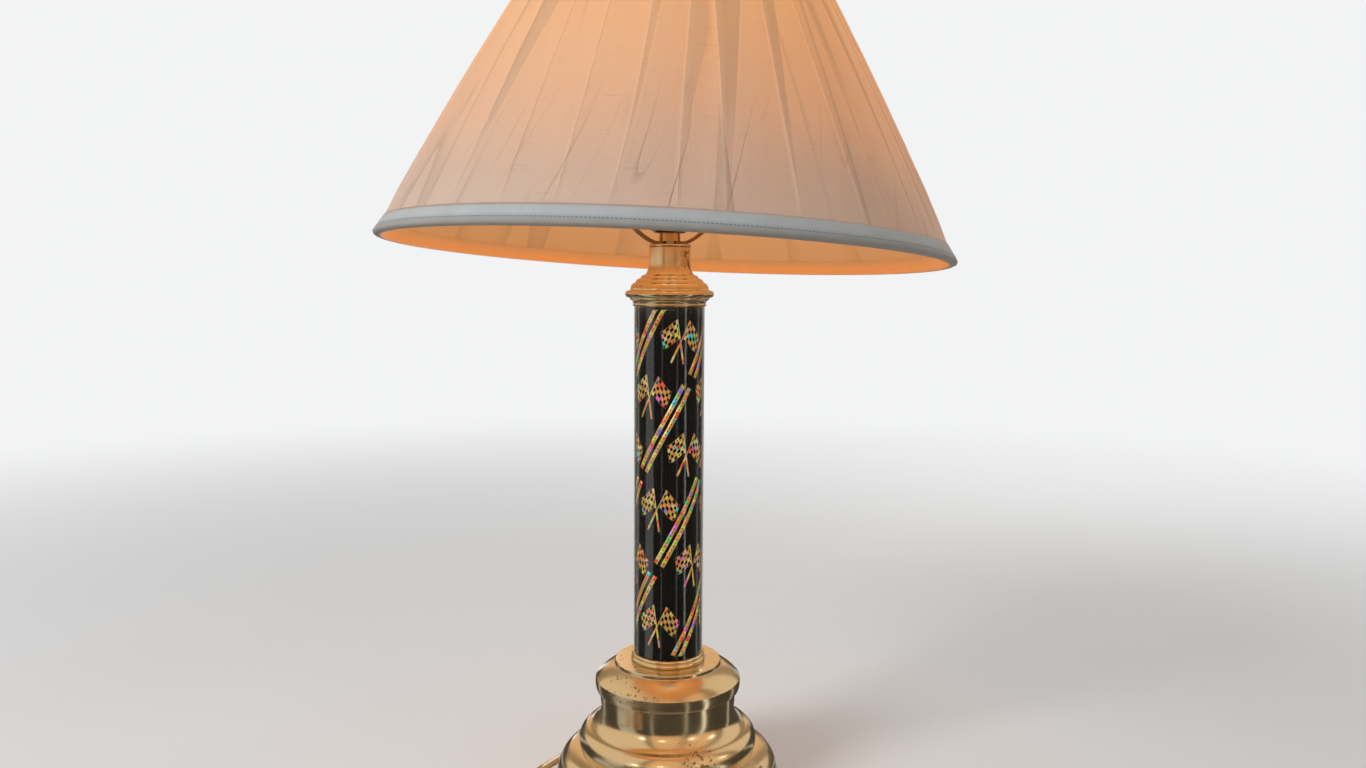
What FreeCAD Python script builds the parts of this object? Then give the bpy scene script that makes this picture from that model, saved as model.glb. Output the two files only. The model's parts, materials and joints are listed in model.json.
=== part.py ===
import FreeCAD, Part
import Sketcher
import math
import operator
import os

from FreeCAD import Placement, Rotation, Vector

# Rotating motion lamp, in millimetres, +Z up. The origin is on the floor, under the middle of the base.

SIZES = {
    # Base, from the floor up
    "felt_thickness": 1.5,
    "plate_thickness": 1.2,
    "brass_wall": 1.2,
    "foot_radius": 83.0,
    "foot_rise": 11.1,
    "shoulder_radius": 72.8,
    "shoulder_rise": 17.6,
    "bead_radius": 66.0,
    "bead_rise": 17.7,
    "waist_radius": 49.5,
    "waist_rise": 27.3,
    "crown_radius": 53.8,
    "crown_band": 9.5,
    "crown_slope_rise": 10.5,
    "step_radius": 39.5,
    "step_rise": 2.8,
    "seat_rise": 6.0,
    "weight_clearance": 7.0,
    "weight_height": 12.0,
    "dish_radius": 20.0,
    "dish_rise": 8.0,
    # Column
    "rod_radius": 4.8,
    "rod_bore_radius": 3.2,
    "tube_radius": 25.4,
    "tube_wall": 1.2,
    "tube_visible": 255.7,
    "tube_tuck": 4.5,
    "drum_gap": 0.35,
    "drum_wall": 1.2,
    "bush_wall": 1.4,
    "running_clearance": 0.05,
    "seat_clearance": 0.05,
    # Drum drive
    "gear_module": 0.8,
    "gear_teeth": 54,
    "pinion_teeth": 16,
    "gear_width": 7.0,
    "gear_backlash": 0.22,
    "motor_radius": 18.0,
    "motor_height": 15.0,
    "motor_shaft_radius": 1.5,
    "bracket_thickness": 1.6,
    "ear_spacing": 44.0,
    "screw_radius": 1.5,
    # Cap and neck
    "collar_height": 6.3,
    "cap_radius": 32.2,
    "cap_bead": 5.0,
    "cap_rise": 23.5,
    "neck_radius": 14.7,
    "neck_height": 12.3,
    "neck_wall": 1.0,
    "neck_ring_height": 2.4,
    # Saddle and harp
    "saddle_turn": 9.0,
    "saddle_length": 27.0,
    "saddle_width": 10.0,
    "saddle_thickness": 1.8,
    "harp_lean": 3.73,
    "harp_lean_heading": 45.0,
    "harp_offset": -2.0,
    "harp_half_width": 28.0,
    "harp_height": 214.0,
    "harp_belly": 55.0,
    "harp_leg_rise": 20.0,
    "harp_flare_rise": 60.0,
    "harp_belly_rise": 102.0,
    "harp_shoulder_drop": 45.0,
    "harp_corner_drop": 13.0,
    "harp_crown_half": 11.0,
    "harp_wire_radius": 1.6,
    "prong_base": 13.0,
    "prong_height": 10.0,
    "prong_thickness": 1.6,
    "foot_slot_radius": 4.1,
    "sleeve_height": 14.0,
    "stud_radius": 3.1,
    # Socket and bulb
    "hub_radius": 7.7,
    "hub_height": 8.0,
    "socket_radius": 16.9,
    "socket_height": 60.0,
    "socket_wall": 0.5,
    "knob_height": 24.5,
    "knob_radius": 6.0,
    "bulb_radius": 30.0,
    "bulb_height": 83.0,
    "bulb_cap_radius": 13.1,
    # Shade, in the leaning frame of the harp
    "spider_recess": 12.6,
    "shade_radius": 202.2,
    "shade_top_radius": 75.2,
    "shade_height": 238.0,
    "shade_bulge": 3.5,
    "shade_cloth": 0.9,
    "fold_count": 30,
    "fold_depth": 1.4,
    "ring_wire_radius": 1.6,
    "rib_count": 8,
    "rib_radius": 1.2,
    "hem_height": 14.5,
    "trim_cloth": 0.8,
    # Cord
    "cord_heading": 76.0,
    "cord_exit_height": 7.6,
    "cord_diameter": 6.2,
    "coil_pitch": 6.65,
    "coil_radius": 46.0,
    "coil_half_turns": 6,
}

document = FreeCAD.newDocument("motion_lamp")
sheet = document.addObject("Spreadsheet::Sheet", "Sizes")
for row, (name, number) in enumerate(SIZES.items(), start=1):
    sheet.set(f"A{row}", name)
    sheet.set(f"B{row}", str(number))
    sheet.setAlias(f"B{row}", name)
document.recompute()


class Length(float):
    """A number that keeps the sheet formula it comes from, so that a sketch or a primitive can be bound to it."""

    def __new__(cls, number, formula):
        made = float.__new__(cls, number)
        made.formula = formula
        return made

    def __add__(self, other):
        return combined(self, "+", other)

    def __radd__(self, other):
        return combined(other, "+", self)

    def __sub__(self, other):
        return combined(self, "-", other)

    def __rsub__(self, other):
        return combined(other, "-", self)

    def __mul__(self, other):
        return combined(self, "*", other)

    def __rmul__(self, other):
        return combined(other, "*", self)

    def __truediv__(self, other):
        return combined(self, "/", other)

    def __neg__(self):
        return combined(0, "-", self)


OPERATORS = {"+": operator.add, "-": operator.sub, "*": operator.mul, "/": operator.truediv}


def combined(left, sign, right):
    """The length left sign right, with its formula."""
    words = [getattr(side, "formula", repr(side)) for side in (left, right)]
    return Length(OPERATORS[sign](float(left), float(right)), f"({words[0]} {sign} {words[1]})")


class Sheet:
    """Reads a driving dimension by its alias."""

    def __getattr__(self, name):
        return Length(float(sheet.get(name)), f"Sizes.{name}")


size = Sheet()
nodes = {}


def bind(thing, **values):
    """Sets each property, and its formula where the value has one."""
    for name, value in values.items():
        setattr(thing, name, float(value))
        if isinstance(value, Length):
            thing.setExpression(name, value.formula)
    return thing


def keep(thing, label, placement=None):
    """Makes thing a sub-part of its own, with its label and place."""
    thing.Label = label
    if placement is not None:
        thing.Placement = placement.multiply(thing.Placement)
    nodes[label] = thing
    return thing


def via(across, up):
    """The point that an arc passes between the corners before and after it."""
    return across, up, "via"


def place_point(sketch, geometry, end, across, up):
    """Ties one point of a sketch to its two coordinates."""
    for kind, axis, value in (("DistanceX", -2, across), ("DistanceY", -1, up)):
        if abs(float(value)) < 1e-9:
            sketch.addConstraint(Sketcher.Constraint("PointOnObject", geometry, end, axis))
            continue
        made = sketch.addConstraint(Sketcher.Constraint(kind, -1, 1, geometry, end, float(value)))
        if isinstance(value, Length):
            sketch.setExpression(f"Constraints[{made}]", value.formula)


def outline(sketch, points):
    """Draws a closed outline of lines and arcs, and ties every corner and via point to the sheet."""
    edges, corner, bend = [], None, None
    for point in [*points, points[0]]:
        if len(point) == 3:
            bend = point
            continue
        if corner is not None:
            edges.append((corner, bend, point))
        corner, bend = point, None
    ends = []
    for start, bend, stop in edges:
        first, last = (Vector(float(p[0]), float(p[1]), 0) for p in (start, stop))
        if bend is None:
            made = sketch.addGeometry(Part.LineSegment(first, last), False)
            ends.append((made, 1, 2))
            continue
        middle = Vector(float(bend[0]), float(bend[1]), 0)
        made = sketch.addGeometry(Part.Arc(first, middle, last), False)
        ahead = sketch.getPoint(made, 1).distanceToPoint(first) < sketch.getPoint(made, 2).distanceToPoint(first)
        ends.append((made, 1, 2) if ahead else (made, 2, 1))
        mark = sketch.addGeometry(Part.Point(middle), True)
        place_point(sketch, mark, 1, bend[0], bend[1])
        sketch.addConstraint(Sketcher.Constraint("PointOnObject", mark, 1, made))
    for (made, start_end, _), (start, _, _) in zip(ends, edges):
        place_point(sketch, made, start_end, start[0], start[1])
    for this, after in zip(ends, ends[1:] + ends[:1]):
        sketch.addConstraint(Sketcher.Constraint("Coincident", this[0], this[2], after[0], after[1]))


def new_sketch(body, plane):
    """A sketch on one of the body's own origin planes."""
    sketch = body.newObject("Sketcher::SketchObject", "Sketch")
    flat = [item for item in body.Origin.OriginFeatures if item.Role == plane][0]
    sketch.AttachmentSupport = [(flat, "")]
    sketch.MapMode = "FlatFace"
    return sketch


def lathe(label, *profiles):
    """A body turned about its Z axis, from closed outlines of (radius, height) points."""
    body = document.addObject("PartDesign::Body", label)
    for points in profiles:
        sketch = new_sketch(body, "XZ_Plane")
        outline(sketch, points)
        turn = body.newObject("PartDesign::Revolution", "Turn")
        turn.Profile = sketch
        turn.ReferenceAxis = (sketch, ["V_Axis"])
        turn.Angle = 360.0
        sketch.Visibility = False
    return body


def turned(label, *profiles, placement=None):
    """A turned body that is a sub-part as it is."""
    return keep(lathe(label, *profiles), label, placement)


def cylinder(radius, height, base=0, across=0, back=0, placement=None):
    """An upright cylinder primitive."""
    made = document.addObject("Part::Cylinder", "Cylinder")
    bind(made, Radius=radius, Height=height)
    if placement is not None:
        made.Placement = placement
        return made
    for axis, value in (("x", across), ("y", back), ("z", base)):
        if isinstance(value, Length):
            made.setExpression(f"Placement.Base.{axis}", value.formula)
    made.Placement.Base = Vector(float(across), float(back), float(base))
    return made


def block(length, width, height, base=0, across=0, back=0):
    """A box primitive, centred on (across, back), standing on base."""
    made = document.addObject("Part::Box", "Box")
    bind(made, Length=length, Width=width, Height=height)
    corner = {"x": across - length / 2, "y": back - width / 2, "z": base}
    for axis, value in corner.items():
        if isinstance(value, Length):
            made.setExpression(f"Placement.Base.{axis}", value.formula)
    made.Placement.Base = Vector(*(float(value) for value in corner.values()))
    return made


def cut(base, *tools):
    """The base with each tool taken away."""
    for tool in tools:
        made = document.addObject("Part::Cut", "Cut")
        made.Base, made.Tool = base, tool
        base = made
    return base


def joined(*pieces):
    """One solid from pieces that overlap."""
    made = document.addObject("Part::MultiFuse", "Joined")
    made.Shapes = list(pieces)
    return made


def group(*pieces):
    """Separate solids that share a node."""
    made = document.addObject("Part::Compound", "Group")
    made.Links = list(pieces)
    return made


def feature(shape):
    """A sub-part whose shape is worked out here."""
    made = document.addObject("Part::Feature", "Shape")
    made.Shape = shape
    return made


def ring_outline(inner, outer, low, high):
    """The outline of a plain ring."""
    return [(inner, low), (outer, low), (outer, high), (inner, high)]


def ring(label, inner, outer, low, high, placement=None):
    """A plain turned ring."""
    return turned(label, ring_outline(inner, outer, low, high), placement=placement)


def corner_arc(start, corner, stop):
    """The arc that leaves start towards the corner and arrives at stop, both as far from the corner."""
    reach = (start - corner).Length
    half_chord = (stop - start).Length / 2
    half_turn = math.pi / 2 - math.asin(min(1.0, half_chord / reach))
    inward = ((start + stop) * 0.5 - corner).normalize()
    return Part.Arc(start, corner + inward * reach * math.tan(half_turn / 2), stop).toShape()


def rounded(points, say=None):
    """Straight runs between the points, joined by arcs as large as the two runs beside each corner allow."""
    runs = [b - a for a, b in zip(points, points[1:])]
    edges, last, radii = [], points[0], []
    for index in range(1, len(points) - 1):
        before, after = runs[index - 1], runs[index]
        reach = 0.45 * min(before.Length, after.Length)
        radii.append(reach / math.tan(before.getAngle(after) / 2))
        corner = points[index]
        start = corner - Vector(before).normalize() * reach
        stop = corner + Vector(after).normalize() * reach
        edges += [Part.LineSegment(last, start).toShape(), corner_arc(start, corner, stop)]
        last = stop
    edges.append(Part.LineSegment(last, points[-1]).toShape())
    if say:
        print(say, "bend radii", [round(radius, 1) for radius in radii])
    return Part.Wire(edges)


def tube(path, radius):
    """A round bar of the given radius along a smooth path, with its volume compared with section times length."""
    first = path.Edges[0]
    start = first.valueAt(first.FirstParameter)
    circle = Part.Wire(Part.makeCircle(float(radius), start, first.tangentAt(first.FirstParameter)))
    made = path.makePipeShell([circle], True, False)
    share = made.Volume / (math.pi * float(radius) ** 2 * path.Length)
    if not 0.97 < share < 1.03:
        raise ValueError(f"tube of radius {float(radius)} holds {share:.3f} of its section times its length")
    return made


# Heights up the stack
foot_top = size.felt_thickness + size.foot_rise
shoulder_top = foot_top + size.shoulder_rise
bead_top = shoulder_top + size.bead_rise
shell_top = bead_top + size.waist_rise
crown_edge = shell_top + size.crown_band
slope_top = crown_edge + size.crown_slope_rise
crown_top = slope_top + size.step_rise
tube_foot = crown_top + size.seat_rise
tube_bottom = tube_foot - size.tube_tuck
collar_bottom = tube_foot + size.tube_visible
tube_top = collar_bottom + size.tube_tuck
cap_bottom = collar_bottom + size.collar_height
cap_top = cap_bottom + size.cap_rise
neck_bottom = cap_top - 2.5
neck_top = cap_top + size.neck_height
saddle_bottom = neck_top + size.neck_ring_height
saddle_top = saddle_bottom + size.saddle_thickness
socket_bottom = saddle_top + size.hub_height

rod_hole = size.rod_radius + size.seat_clearance
wall = size.brass_wall

# Line on which the cord leaves the base

exit_turn = Rotation(Vector(0, 0, 1), float(size.cord_heading) - 90)
exit_out = exit_turn.multVec(Vector(0, 1, 0))
exit_at = Vector(0, 0, float(size.cord_exit_height)) + exit_out * (float(size.foot_radius) - 3.0)
cord_radius = size.cord_diameter / 2
bush_bore = float(cord_radius) + 0.15
bush_sleeve = bush_bore + 1.2


def along_exit(radius, length, start):
    """A solid cylinder along the line on which the cord leaves the base."""
    base = exit_at + exit_out * start
    return Part.makeCylinder(float(radius), float(length), base, exit_out)


# Base: felt, closing plate, weight, spun shell and crown

keep(cylinder(size.foot_radius - 3, size.felt_thickness), "felt_pad")

plate_low = size.felt_thickness
plate_high = plate_low + size.plate_thickness
plate_radius = size.foot_radius - wall - 0.2
turned(
    "base_plate",
    [
        (rod_hole, plate_low + size.dish_rise),
        (size.dish_radius, plate_low + size.dish_rise),
        (size.dish_radius + 4, plate_low),
        (plate_radius, plate_low),
        (plate_radius, plate_high),
        (size.dish_radius + 4.6, plate_high),
        (size.dish_radius + 0.6, plate_high + size.dish_rise),
        (rod_hole, plate_high + size.dish_rise),
    ],
)

weight_inner = size.dish_radius + 7
weight_radius = size.foot_radius - size.weight_clearance
slot_half = bush_sleeve + 2.55
cord_slot = Part.makeBox(
    float(size.foot_radius), 2 * slot_half, float(size.weight_height) + 8, Vector(0, -slot_half, float(plate_high) - 1)
)
cord_slot.rotate(Vector(0, 0, 0), Vector(0, 0, 1), float(size.cord_heading))
weight_ring = cut(
    cylinder(weight_radius, size.weight_height, plate_high),
    cylinder(weight_inner, size.weight_height + 2, plate_high - 1),
    feature(cord_slot),
)
chamfered = document.addObject("Part::Chamfer", "WeightChamfer")
chamfered.Base = weight_ring
document.recompute()
rim_edges = [
    number
    for number, edge in enumerate(weight_ring.Shape.Edges, start=1)
    if abs(edge.BoundBox.ZMin - float(plate_high + size.weight_height)) < 0.01
    and edge.BoundBox.ZLength < 0.01
    and abs(edge.distToShape(Part.Vertex(0, 0, edge.BoundBox.ZMin))[0] - float(weight_radius)) < 0.01
]
chamfered.Edges = [(number, 2.0, 2.0) for number in rim_edges]
keep(chamfered, "base_weight")

shell_blank = lathe(
    "base_shell_blank",
    [
        (size.foot_radius, plate_low),
        (size.foot_radius, foot_top),
        (size.foot_radius - 0.8, foot_top + 0.7),
        via(size.foot_radius - 2.6, shoulder_top - 8.6),
        (size.shoulder_radius, shoulder_top),
        (size.bead_radius - 1.3, shoulder_top + 2.1),
        via(size.bead_radius, shoulder_top + 8.0),
        (size.bead_radius - 6.0, bead_top),
        (size.bead_radius - 7.2, bead_top + 0.3),
        via(size.waist_radius + 3.5, bead_top + 4.8),
        (size.waist_radius, bead_top + 14.2),
        (size.waist_radius + 0.7, shell_top - 5.8),
        (size.waist_radius + 0.7, shell_top),
        (size.waist_radius - 3.0, shell_top),
        (size.waist_radius - 3.0, shell_top - wall),
        (size.waist_radius + 0.7 - wall, shell_top - wall),
        (size.waist_radius + 0.7 - wall, shell_top - 5.8),
        (size.waist_radius - wall, bead_top + 14.0),
        via(size.waist_radius + 2.5, bead_top + 3.9),
        (size.bead_radius - 7.8, bead_top - wall),
        via(size.bead_radius - wall, shoulder_top + 7.0),
        (size.bead_radius - 2.3, shoulder_top + 0.8),
        (size.shoulder_radius - 0.8, shoulder_top - wall),
        via(size.foot_radius - 3.9, shoulder_top - 9.4),
        (size.foot_radius - 2.0, foot_top + 0.4),
        (size.foot_radius - wall, foot_top - 0.4),
        (size.foot_radius - wall, plate_low),
    ],
)
keep(cut(shell_blank, feature(along_exit(bush_sleeve + 0.05, 10, -2))), "base_shell")

crown_hole = size.tube_radius - 3.4
turned(
    "base_crown",
    [
        (size.waist_radius - 0.6, shell_top),
        (size.crown_radius - 2.2, shell_top),
        (size.crown_radius - 0.8, shell_top + 1.0),
        via(size.crown_radius + 0.1, shell_top + 5.4),
        (size.crown_radius - 0.1, crown_edge),
        (size.crown_radius - 0.8, crown_edge + 0.7),
        via(size.step_radius + 7.6, slope_top - 4.4),
        (size.step_radius, slope_top),
        (size.step_radius - 0.4, crown_top - 0.5),
        (size.step_radius - 0.9, crown_top),
        (crown_hole, crown_top),
        (crown_hole, crown_top - wall),
        (size.step_radius - 1.6, crown_top - wall),
        (size.step_radius - 1.2, slope_top - 0.9),
        via(size.step_radius + 6.8, slope_top - 5.4),
        (size.crown_radius - 1.8, crown_edge - 0.4),
        via(size.crown_radius - 1.2, shell_top + 5.4),
        (size.crown_radius - 2.2, shell_top + wall),
        (size.waist_radius - 0.6, shell_top + wall),
    ],
)

# Drum drive: bracket, motor, pinion and gear

gear_pitch = size.gear_module * size.gear_teeth / 2
pinion_pitch = size.gear_module * size.pinion_teeth / 2
motor_across = gear_pitch + pinion_pitch
bracket_top = shell_top + size.bracket_thickness
bracket_radius = size.waist_radius - 0.8
ear_reach = size.ear_spacing / 2
lead_hole = cylinder(4.0, 10, shell_top - 4, -20)
windows = [cylinder(9.0, 10, shell_top - 4, -30, side * 22) for side in (-1, 1)]
keep(
    cut(
        cylinder(bracket_radius, size.bracket_thickness, shell_top),
        cylinder(rod_hole, 10, shell_top - 4),
        cylinder(4.2, 10, shell_top - 4, motor_across),
        *[cylinder(size.screw_radius + 0.1, 10, shell_top - 4, motor_across, side * ear_reach) for side in (-1, 1)],
        lead_hole,
        *windows,
    ),
    "motor_bracket",
)

motor_low = shell_top - size.motor_height
ear_low = shell_top - 1.5
motor_body = joined(
    cylinder(size.motor_radius, size.motor_height, motor_low, motor_across),
    block(8, size.ear_spacing, 1.5, ear_low, motor_across),
    *[cylinder(4.0, 1.5, ear_low, motor_across, side * ear_reach) for side in (-1, 1)],
    cylinder(4.0, 1.4, shell_top, motor_across),
)
keep(
    cut(
        motor_body,
        cylinder(size.motor_shaft_radius + size.running_clearance, size.motor_height - 1, motor_low + 3, motor_across),
        *[cylinder(size.screw_radius, 6, ear_low - 2, motor_across, side * ear_reach) for side in (-1, 1)],
    ),
    "drive_motor",
)
keep(
    group(
        *[
            joined(
                cylinder(size.screw_radius - 0.02, 5.6, bracket_top - 5.6, motor_across, side * ear_reach),
                cylinder(size.screw_radius + 1.3, 1.6, bracket_top, motor_across, side * ear_reach),
            )
            for side in (-1, 1)
        ]
    ),
    "bracket_screws",
)


def gear_outline(teeth, turn):
    """Corners of an involute spur gear, two facets to a flank, thinned for backlash, turned by an angle."""
    module = float(size.gear_module)
    pitch = module * teeth / 2
    base = pitch * math.cos(math.radians(20))
    tip, root = pitch + 0.95 * module, pitch - 1.25 * module

    def spread(radius):
        roll = math.acos(min(1.0, base / radius))
        return math.tan(roll) - roll

    half_at_pitch = math.pi / (2 * teeth) - float(size.gear_backlash) / (4 * pitch)
    flank = []
    for radius in (max(base, root) + 0.02, pitch, tip):
        flank.append((radius, half_at_pitch + spread(pitch) - spread(radius)))
    flank = [(root, flank[0][1] + 0.15 * math.pi / (2 * teeth)), *flank]
    points = []
    for tooth in range(int(teeth)):
        middle = turn + 2 * math.pi * tooth / teeth
        points += [(radius, middle - half) for radius, half in flank]
        points += [(radius, middle + half) for radius, half in reversed(flank)]
    return [Vector(radius * math.cos(angle), radius * math.sin(angle), 0) for radius, angle in points]


def gear_solid(teeth, turn, bore, low, width, across=0.0):
    """The toothed disc with its bore, standing at low."""
    corners = gear_outline(teeth, turn)
    disc = Part.Face(Part.makePolygon([*corners, corners[0]])).extrude(Vector(0, 0, float(width)))
    disc = disc.cut(Part.makeCylinder(float(bore), float(width)))
    disc.translate(Vector(float(across), 0, float(low)))
    return disc


bush_radius = size.rod_radius + size.bush_wall
hub_bore = bush_radius + size.running_clearance
flange_top = bracket_top + 2
gear_low = flange_top + 1.0
drum_radius = size.tube_radius - size.tube_wall - size.drum_gap
drum_bore = drum_radius - size.drum_wall
drum_bottom = tube_bottom + 0.9
drum_top = tube_top - 1.8

turned(
    "lower_bush",
    [
        (rod_hole, bracket_top),
        (rod_hole + 4.5, bracket_top),
        (rod_hole + 4.5, flange_top),
        (bush_radius, flange_top),
        (bush_radius, drum_bottom + 7),
        (rod_hole, drum_bottom + 7),
    ],
)
neck_outer = hub_bore + 3.2
turned(
    "drum_lower_hub",
    [
        (hub_bore, flange_top + 0.3),
        (neck_outer, flange_top + 0.3),
        (neck_outer, drum_bottom - 1),
        (neck_outer + 2, drum_bottom),
        (drum_bore, drum_bottom),
        (drum_bore, drum_bottom + 5),
        (neck_outer + 3, drum_bottom + 3),
        (neck_outer, drum_bottom + 6),
        (hub_bore, drum_bottom + 6),
    ],
)
keep(feature(gear_solid(float(size.gear_teeth), 0.0, neck_outer + 0.02, gear_low, size.gear_width)), "drum_gear")
pinion_turn = math.pi + math.pi / float(size.pinion_teeth)
keep(
    feature(
        gear_solid(
            float(size.pinion_teeth),
            pinion_turn,
            size.motor_shaft_radius + 0.02,
            gear_low - 0.5,
            size.gear_width + 1,
            motor_across,
        )
    ),
    "motor_pinion",
)
keep(cylinder(size.motor_shaft_radius, 25, motor_low + 3.3, motor_across), "motor_shaft")

# Column: seat, clear tube, drum, collar

seat_bore = size.tube_radius + size.seat_clearance
turned(
    "tube_seat",
    [
        (crown_hole, crown_top),
        (size.tube_radius + 1.3, crown_top),
        via(size.tube_radius + 2.1, crown_top + 1.5),
        (size.tube_radius + 1.3, crown_top + 2.9),
        (size.tube_radius + 1.0, crown_top + 3.2),
        via(size.tube_radius + 1.6, crown_top + 4.4),
        (size.tube_radius + 0.9, tube_foot - 0.3),
        (seat_bore, tube_foot),
        (seat_bore, tube_bottom),
        (crown_hole, tube_bottom),
    ],
)
ring("clear_tube", size.tube_radius - size.tube_wall, size.tube_radius, tube_bottom, tube_top)
ring("drum_tube", drum_bore + 0.02, drum_radius, drum_bottom, drum_top)
hub_low = drum_top - 10
turned(
    "drum_top_hub",
    [
        (hub_bore, hub_low),
        (neck_outer, hub_low),
        (neck_outer + 3, hub_low + 3),
        (drum_bore, hub_low + 3),
        (drum_bore, hub_low + 7),
        (hub_bore, hub_low + 7),
    ],
)
bush_top = hub_low + 9.5
turned(
    "upper_bush",
    [
        (rod_hole, hub_low - 1),
        (bush_radius, hub_low - 1),
        (bush_radius, hub_low + 7.4),
        (rod_hole + 4.5, hub_low + 7.4),
        (rod_hole + 4.5, bush_top),
        (rod_hole, bush_top),
    ],
)
turned(
    "tube_collar",
    [
        (seat_bore, collar_bottom),
        (size.tube_radius + 0.6, collar_bottom),
        via(size.tube_radius + 1.2, collar_bottom + 1.1),
        (size.tube_radius + 0.9, collar_bottom + 2.2),
        via(size.tube_radius + 1.5, collar_bottom + 3.6),
        (size.tube_radius + 2.7, collar_bottom + 4.7),
        (size.tube_radius + 3.6, collar_bottom + 5.2),
        (size.tube_radius + 3.6, cap_bottom),
        (crown_hole, cap_bottom),
        (crown_hole, tube_top),
        (seat_bore, tube_top),
    ],
)

# Cap, neck ring and neck

bell = size.cap_radius - 3.8
turned(
    "top_cap",
    [
        (size.cap_radius - 8, cap_bottom),
        (size.cap_radius - 2.4, cap_bottom),
        via(size.cap_radius, cap_bottom + size.cap_bead / 2),
        (size.cap_radius - 2.4, cap_bottom + size.cap_bead),
        (bell, cap_bottom + size.cap_bead + 0.4),
        via(bell - 0.5, cap_bottom + 8.0),
        (bell - 3.2, cap_bottom + 10.6),
        (bell - 3.8, cap_bottom + 10.8),
        via(bell - 4.8, cap_bottom + 12.6),
        (bell - 6.8, cap_bottom + 13.6),
        (bell - 7.4, cap_bottom + 13.8),
        via(bell - 8.4, cap_bottom + 15.4),
        (bell - 10.2, cap_bottom + 16.2),
        (bell - 10.8, cap_bottom + 16.4),
        via(size.neck_radius + 1.3, cap_bottom + 19.2),
        (size.neck_radius + 0.6, cap_top),
        (size.neck_radius + size.seat_clearance, cap_top),
        (size.neck_radius + size.seat_clearance, neck_bottom),
        (size.neck_radius - 3.7, neck_bottom),
        (size.neck_radius - 3.7, neck_bottom - 1.2),
        (size.neck_radius - 0.2, neck_bottom - 1.2),
        (size.neck_radius + 1.6, cap_bottom + 15.4),
        (bell - 4.8, cap_bottom + 9.6),
        (bell - 2.0, cap_bottom + 5.6),
        (size.cap_radius - 8, cap_bottom + 3.6),
    ],
)
ring("neck_sleeve", size.neck_radius - size.neck_wall, size.neck_radius, neck_bottom, neck_top)
turned(
    "neck_ring",
    [
        (rod_hole, neck_top),
        (size.neck_radius - 0.4, neck_top),
        via(size.neck_radius + 0.4, neck_top + size.neck_ring_height / 2),
        (size.neck_radius - 0.4, saddle_bottom),
        (rod_hole, saddle_bottom),
    ],
)

# Centre rod with its nuts and washer

nut_flats = 14.0
nut_height = 5.0
dish_face = plate_low + size.dish_rise
washer_low = dish_face - 1.2
nut_lows = [washer_low - nut_height, bush_top, socket_bottom + 1.6]
rod_top = socket_bottom + 8
keep(
    cut(
        cylinder(size.rod_radius, rod_top - size.felt_thickness - 1.2, size.felt_thickness + 1.2),
        cylinder(size.rod_bore_radius, rod_top, size.felt_thickness),
    ),
    "centre_rod",
)
ring("lock_washer", rod_hole, rod_hole + 5, washer_low, dish_face)


def hexagon(flats, low, height):
    """An upright hexagonal prism."""
    made = document.addObject("Part::Prism", "Hexagon")
    made.Polygon = 6
    bind(made, Circumradius=flats / math.sqrt(3), Height=height)
    made.setExpression("Placement.Base.z", low.formula)
    made.Placement.Base = Vector(0, 0, float(low))
    return made


keep(
    group(*[cut(hexagon(nut_flats, low, nut_height), cylinder(rod_hole, nut_height, low)) for low in nut_lows]),
    "rod_nuts",
)

# Socket

turned(
    "socket_hub",
    [
        (rod_hole, saddle_top),
        (size.hub_radius, saddle_top),
        (size.hub_radius, socket_bottom),
        (rod_hole, socket_bottom),
    ],
)
skin = size.socket_wall
turned(
    "socket_cap",
    [
        (rod_hole, socket_bottom),
        (size.hub_radius + 0.6, socket_bottom),
        (size.hub_radius + 2.4, socket_bottom + 1.4),
        (size.socket_radius - 2.0, socket_bottom + 3.2),
        via(size.socket_radius - 0.2, socket_bottom + 6.4),
        (size.socket_radius + skin, socket_bottom + 15),
        (size.socket_radius + 0.02, socket_bottom + 15),
        (size.socket_radius + 0.02, socket_bottom + 10),
        via(size.socket_radius - 1.4, socket_bottom + 6.0),
        (size.socket_radius - 3.0, socket_bottom + 4.2),
        (size.hub_radius + 2.0, socket_bottom + 2.4),
        (size.hub_radius + 0.8, socket_bottom + 1.6),
        (rod_hole, socket_bottom + 1.6),
    ],
)
shell_low = socket_bottom + 11
socket_top = socket_bottom + size.socket_height
core_low = socket_bottom + 12
core_high = core_low + 22
knob_up = socket_bottom + size.knob_height
sideways = Rotation(Vector(1, 0, 0), 90)


def toward_front(radius, length, start):
    """A cylinder that points to the front at the height of the knob, from a distance start before the axis."""
    made = cylinder(radius, length)
    made.Placement = Placement(Vector(0, -float(start), float(knob_up)), sideways)
    made.setExpression("Placement.Base.z", knob_up.formula)
    return made


stem_radius = 1.6
shell_blank = lathe(
    "socket_shell_blank",
    [
        (size.socket_radius - skin, shell_low),
        (size.socket_radius, shell_low),
        (size.socket_radius, socket_top - 8),
        (size.socket_radius + 0.7, socket_top - 7),
        (size.socket_radius + 0.7, socket_top),
        (size.socket_radius + 0.2, socket_top),
        (size.socket_radius + 0.2, socket_top - 6.6),
        (size.socket_radius - skin, socket_top - 7.6),
    ],
)
keep(cut(shell_blank, toward_front(stem_radius + 0.6, 12, 10)), "socket_shell")
liner_outer = size.socket_radius - skin - 0.05
liner_blank = lathe(
    "socket_liner_blank", ring_outline(liner_outer - 0.6, liner_outer, shell_low + 0.5, socket_top - 9)
)
keep(cut(liner_blank, toward_front(stem_radius + 0.6, 12, 10)), "socket_liner")
core_radius = liner_outer - 0.7
keep(
    cut(
        cylinder(core_radius, core_high - core_low, core_low),
        toward_front(stem_radius + size.running_clearance, 20, 6),
        block(6, 2 * core_radius, 6, core_low, core_radius),
        block(6, 2 * core_radius, 6, core_low, -core_radius),
    ),
    "socket_core",
)
screw_radius = size.bulb_cap_radius + 0.9
screw_top = core_high + 23
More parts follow.
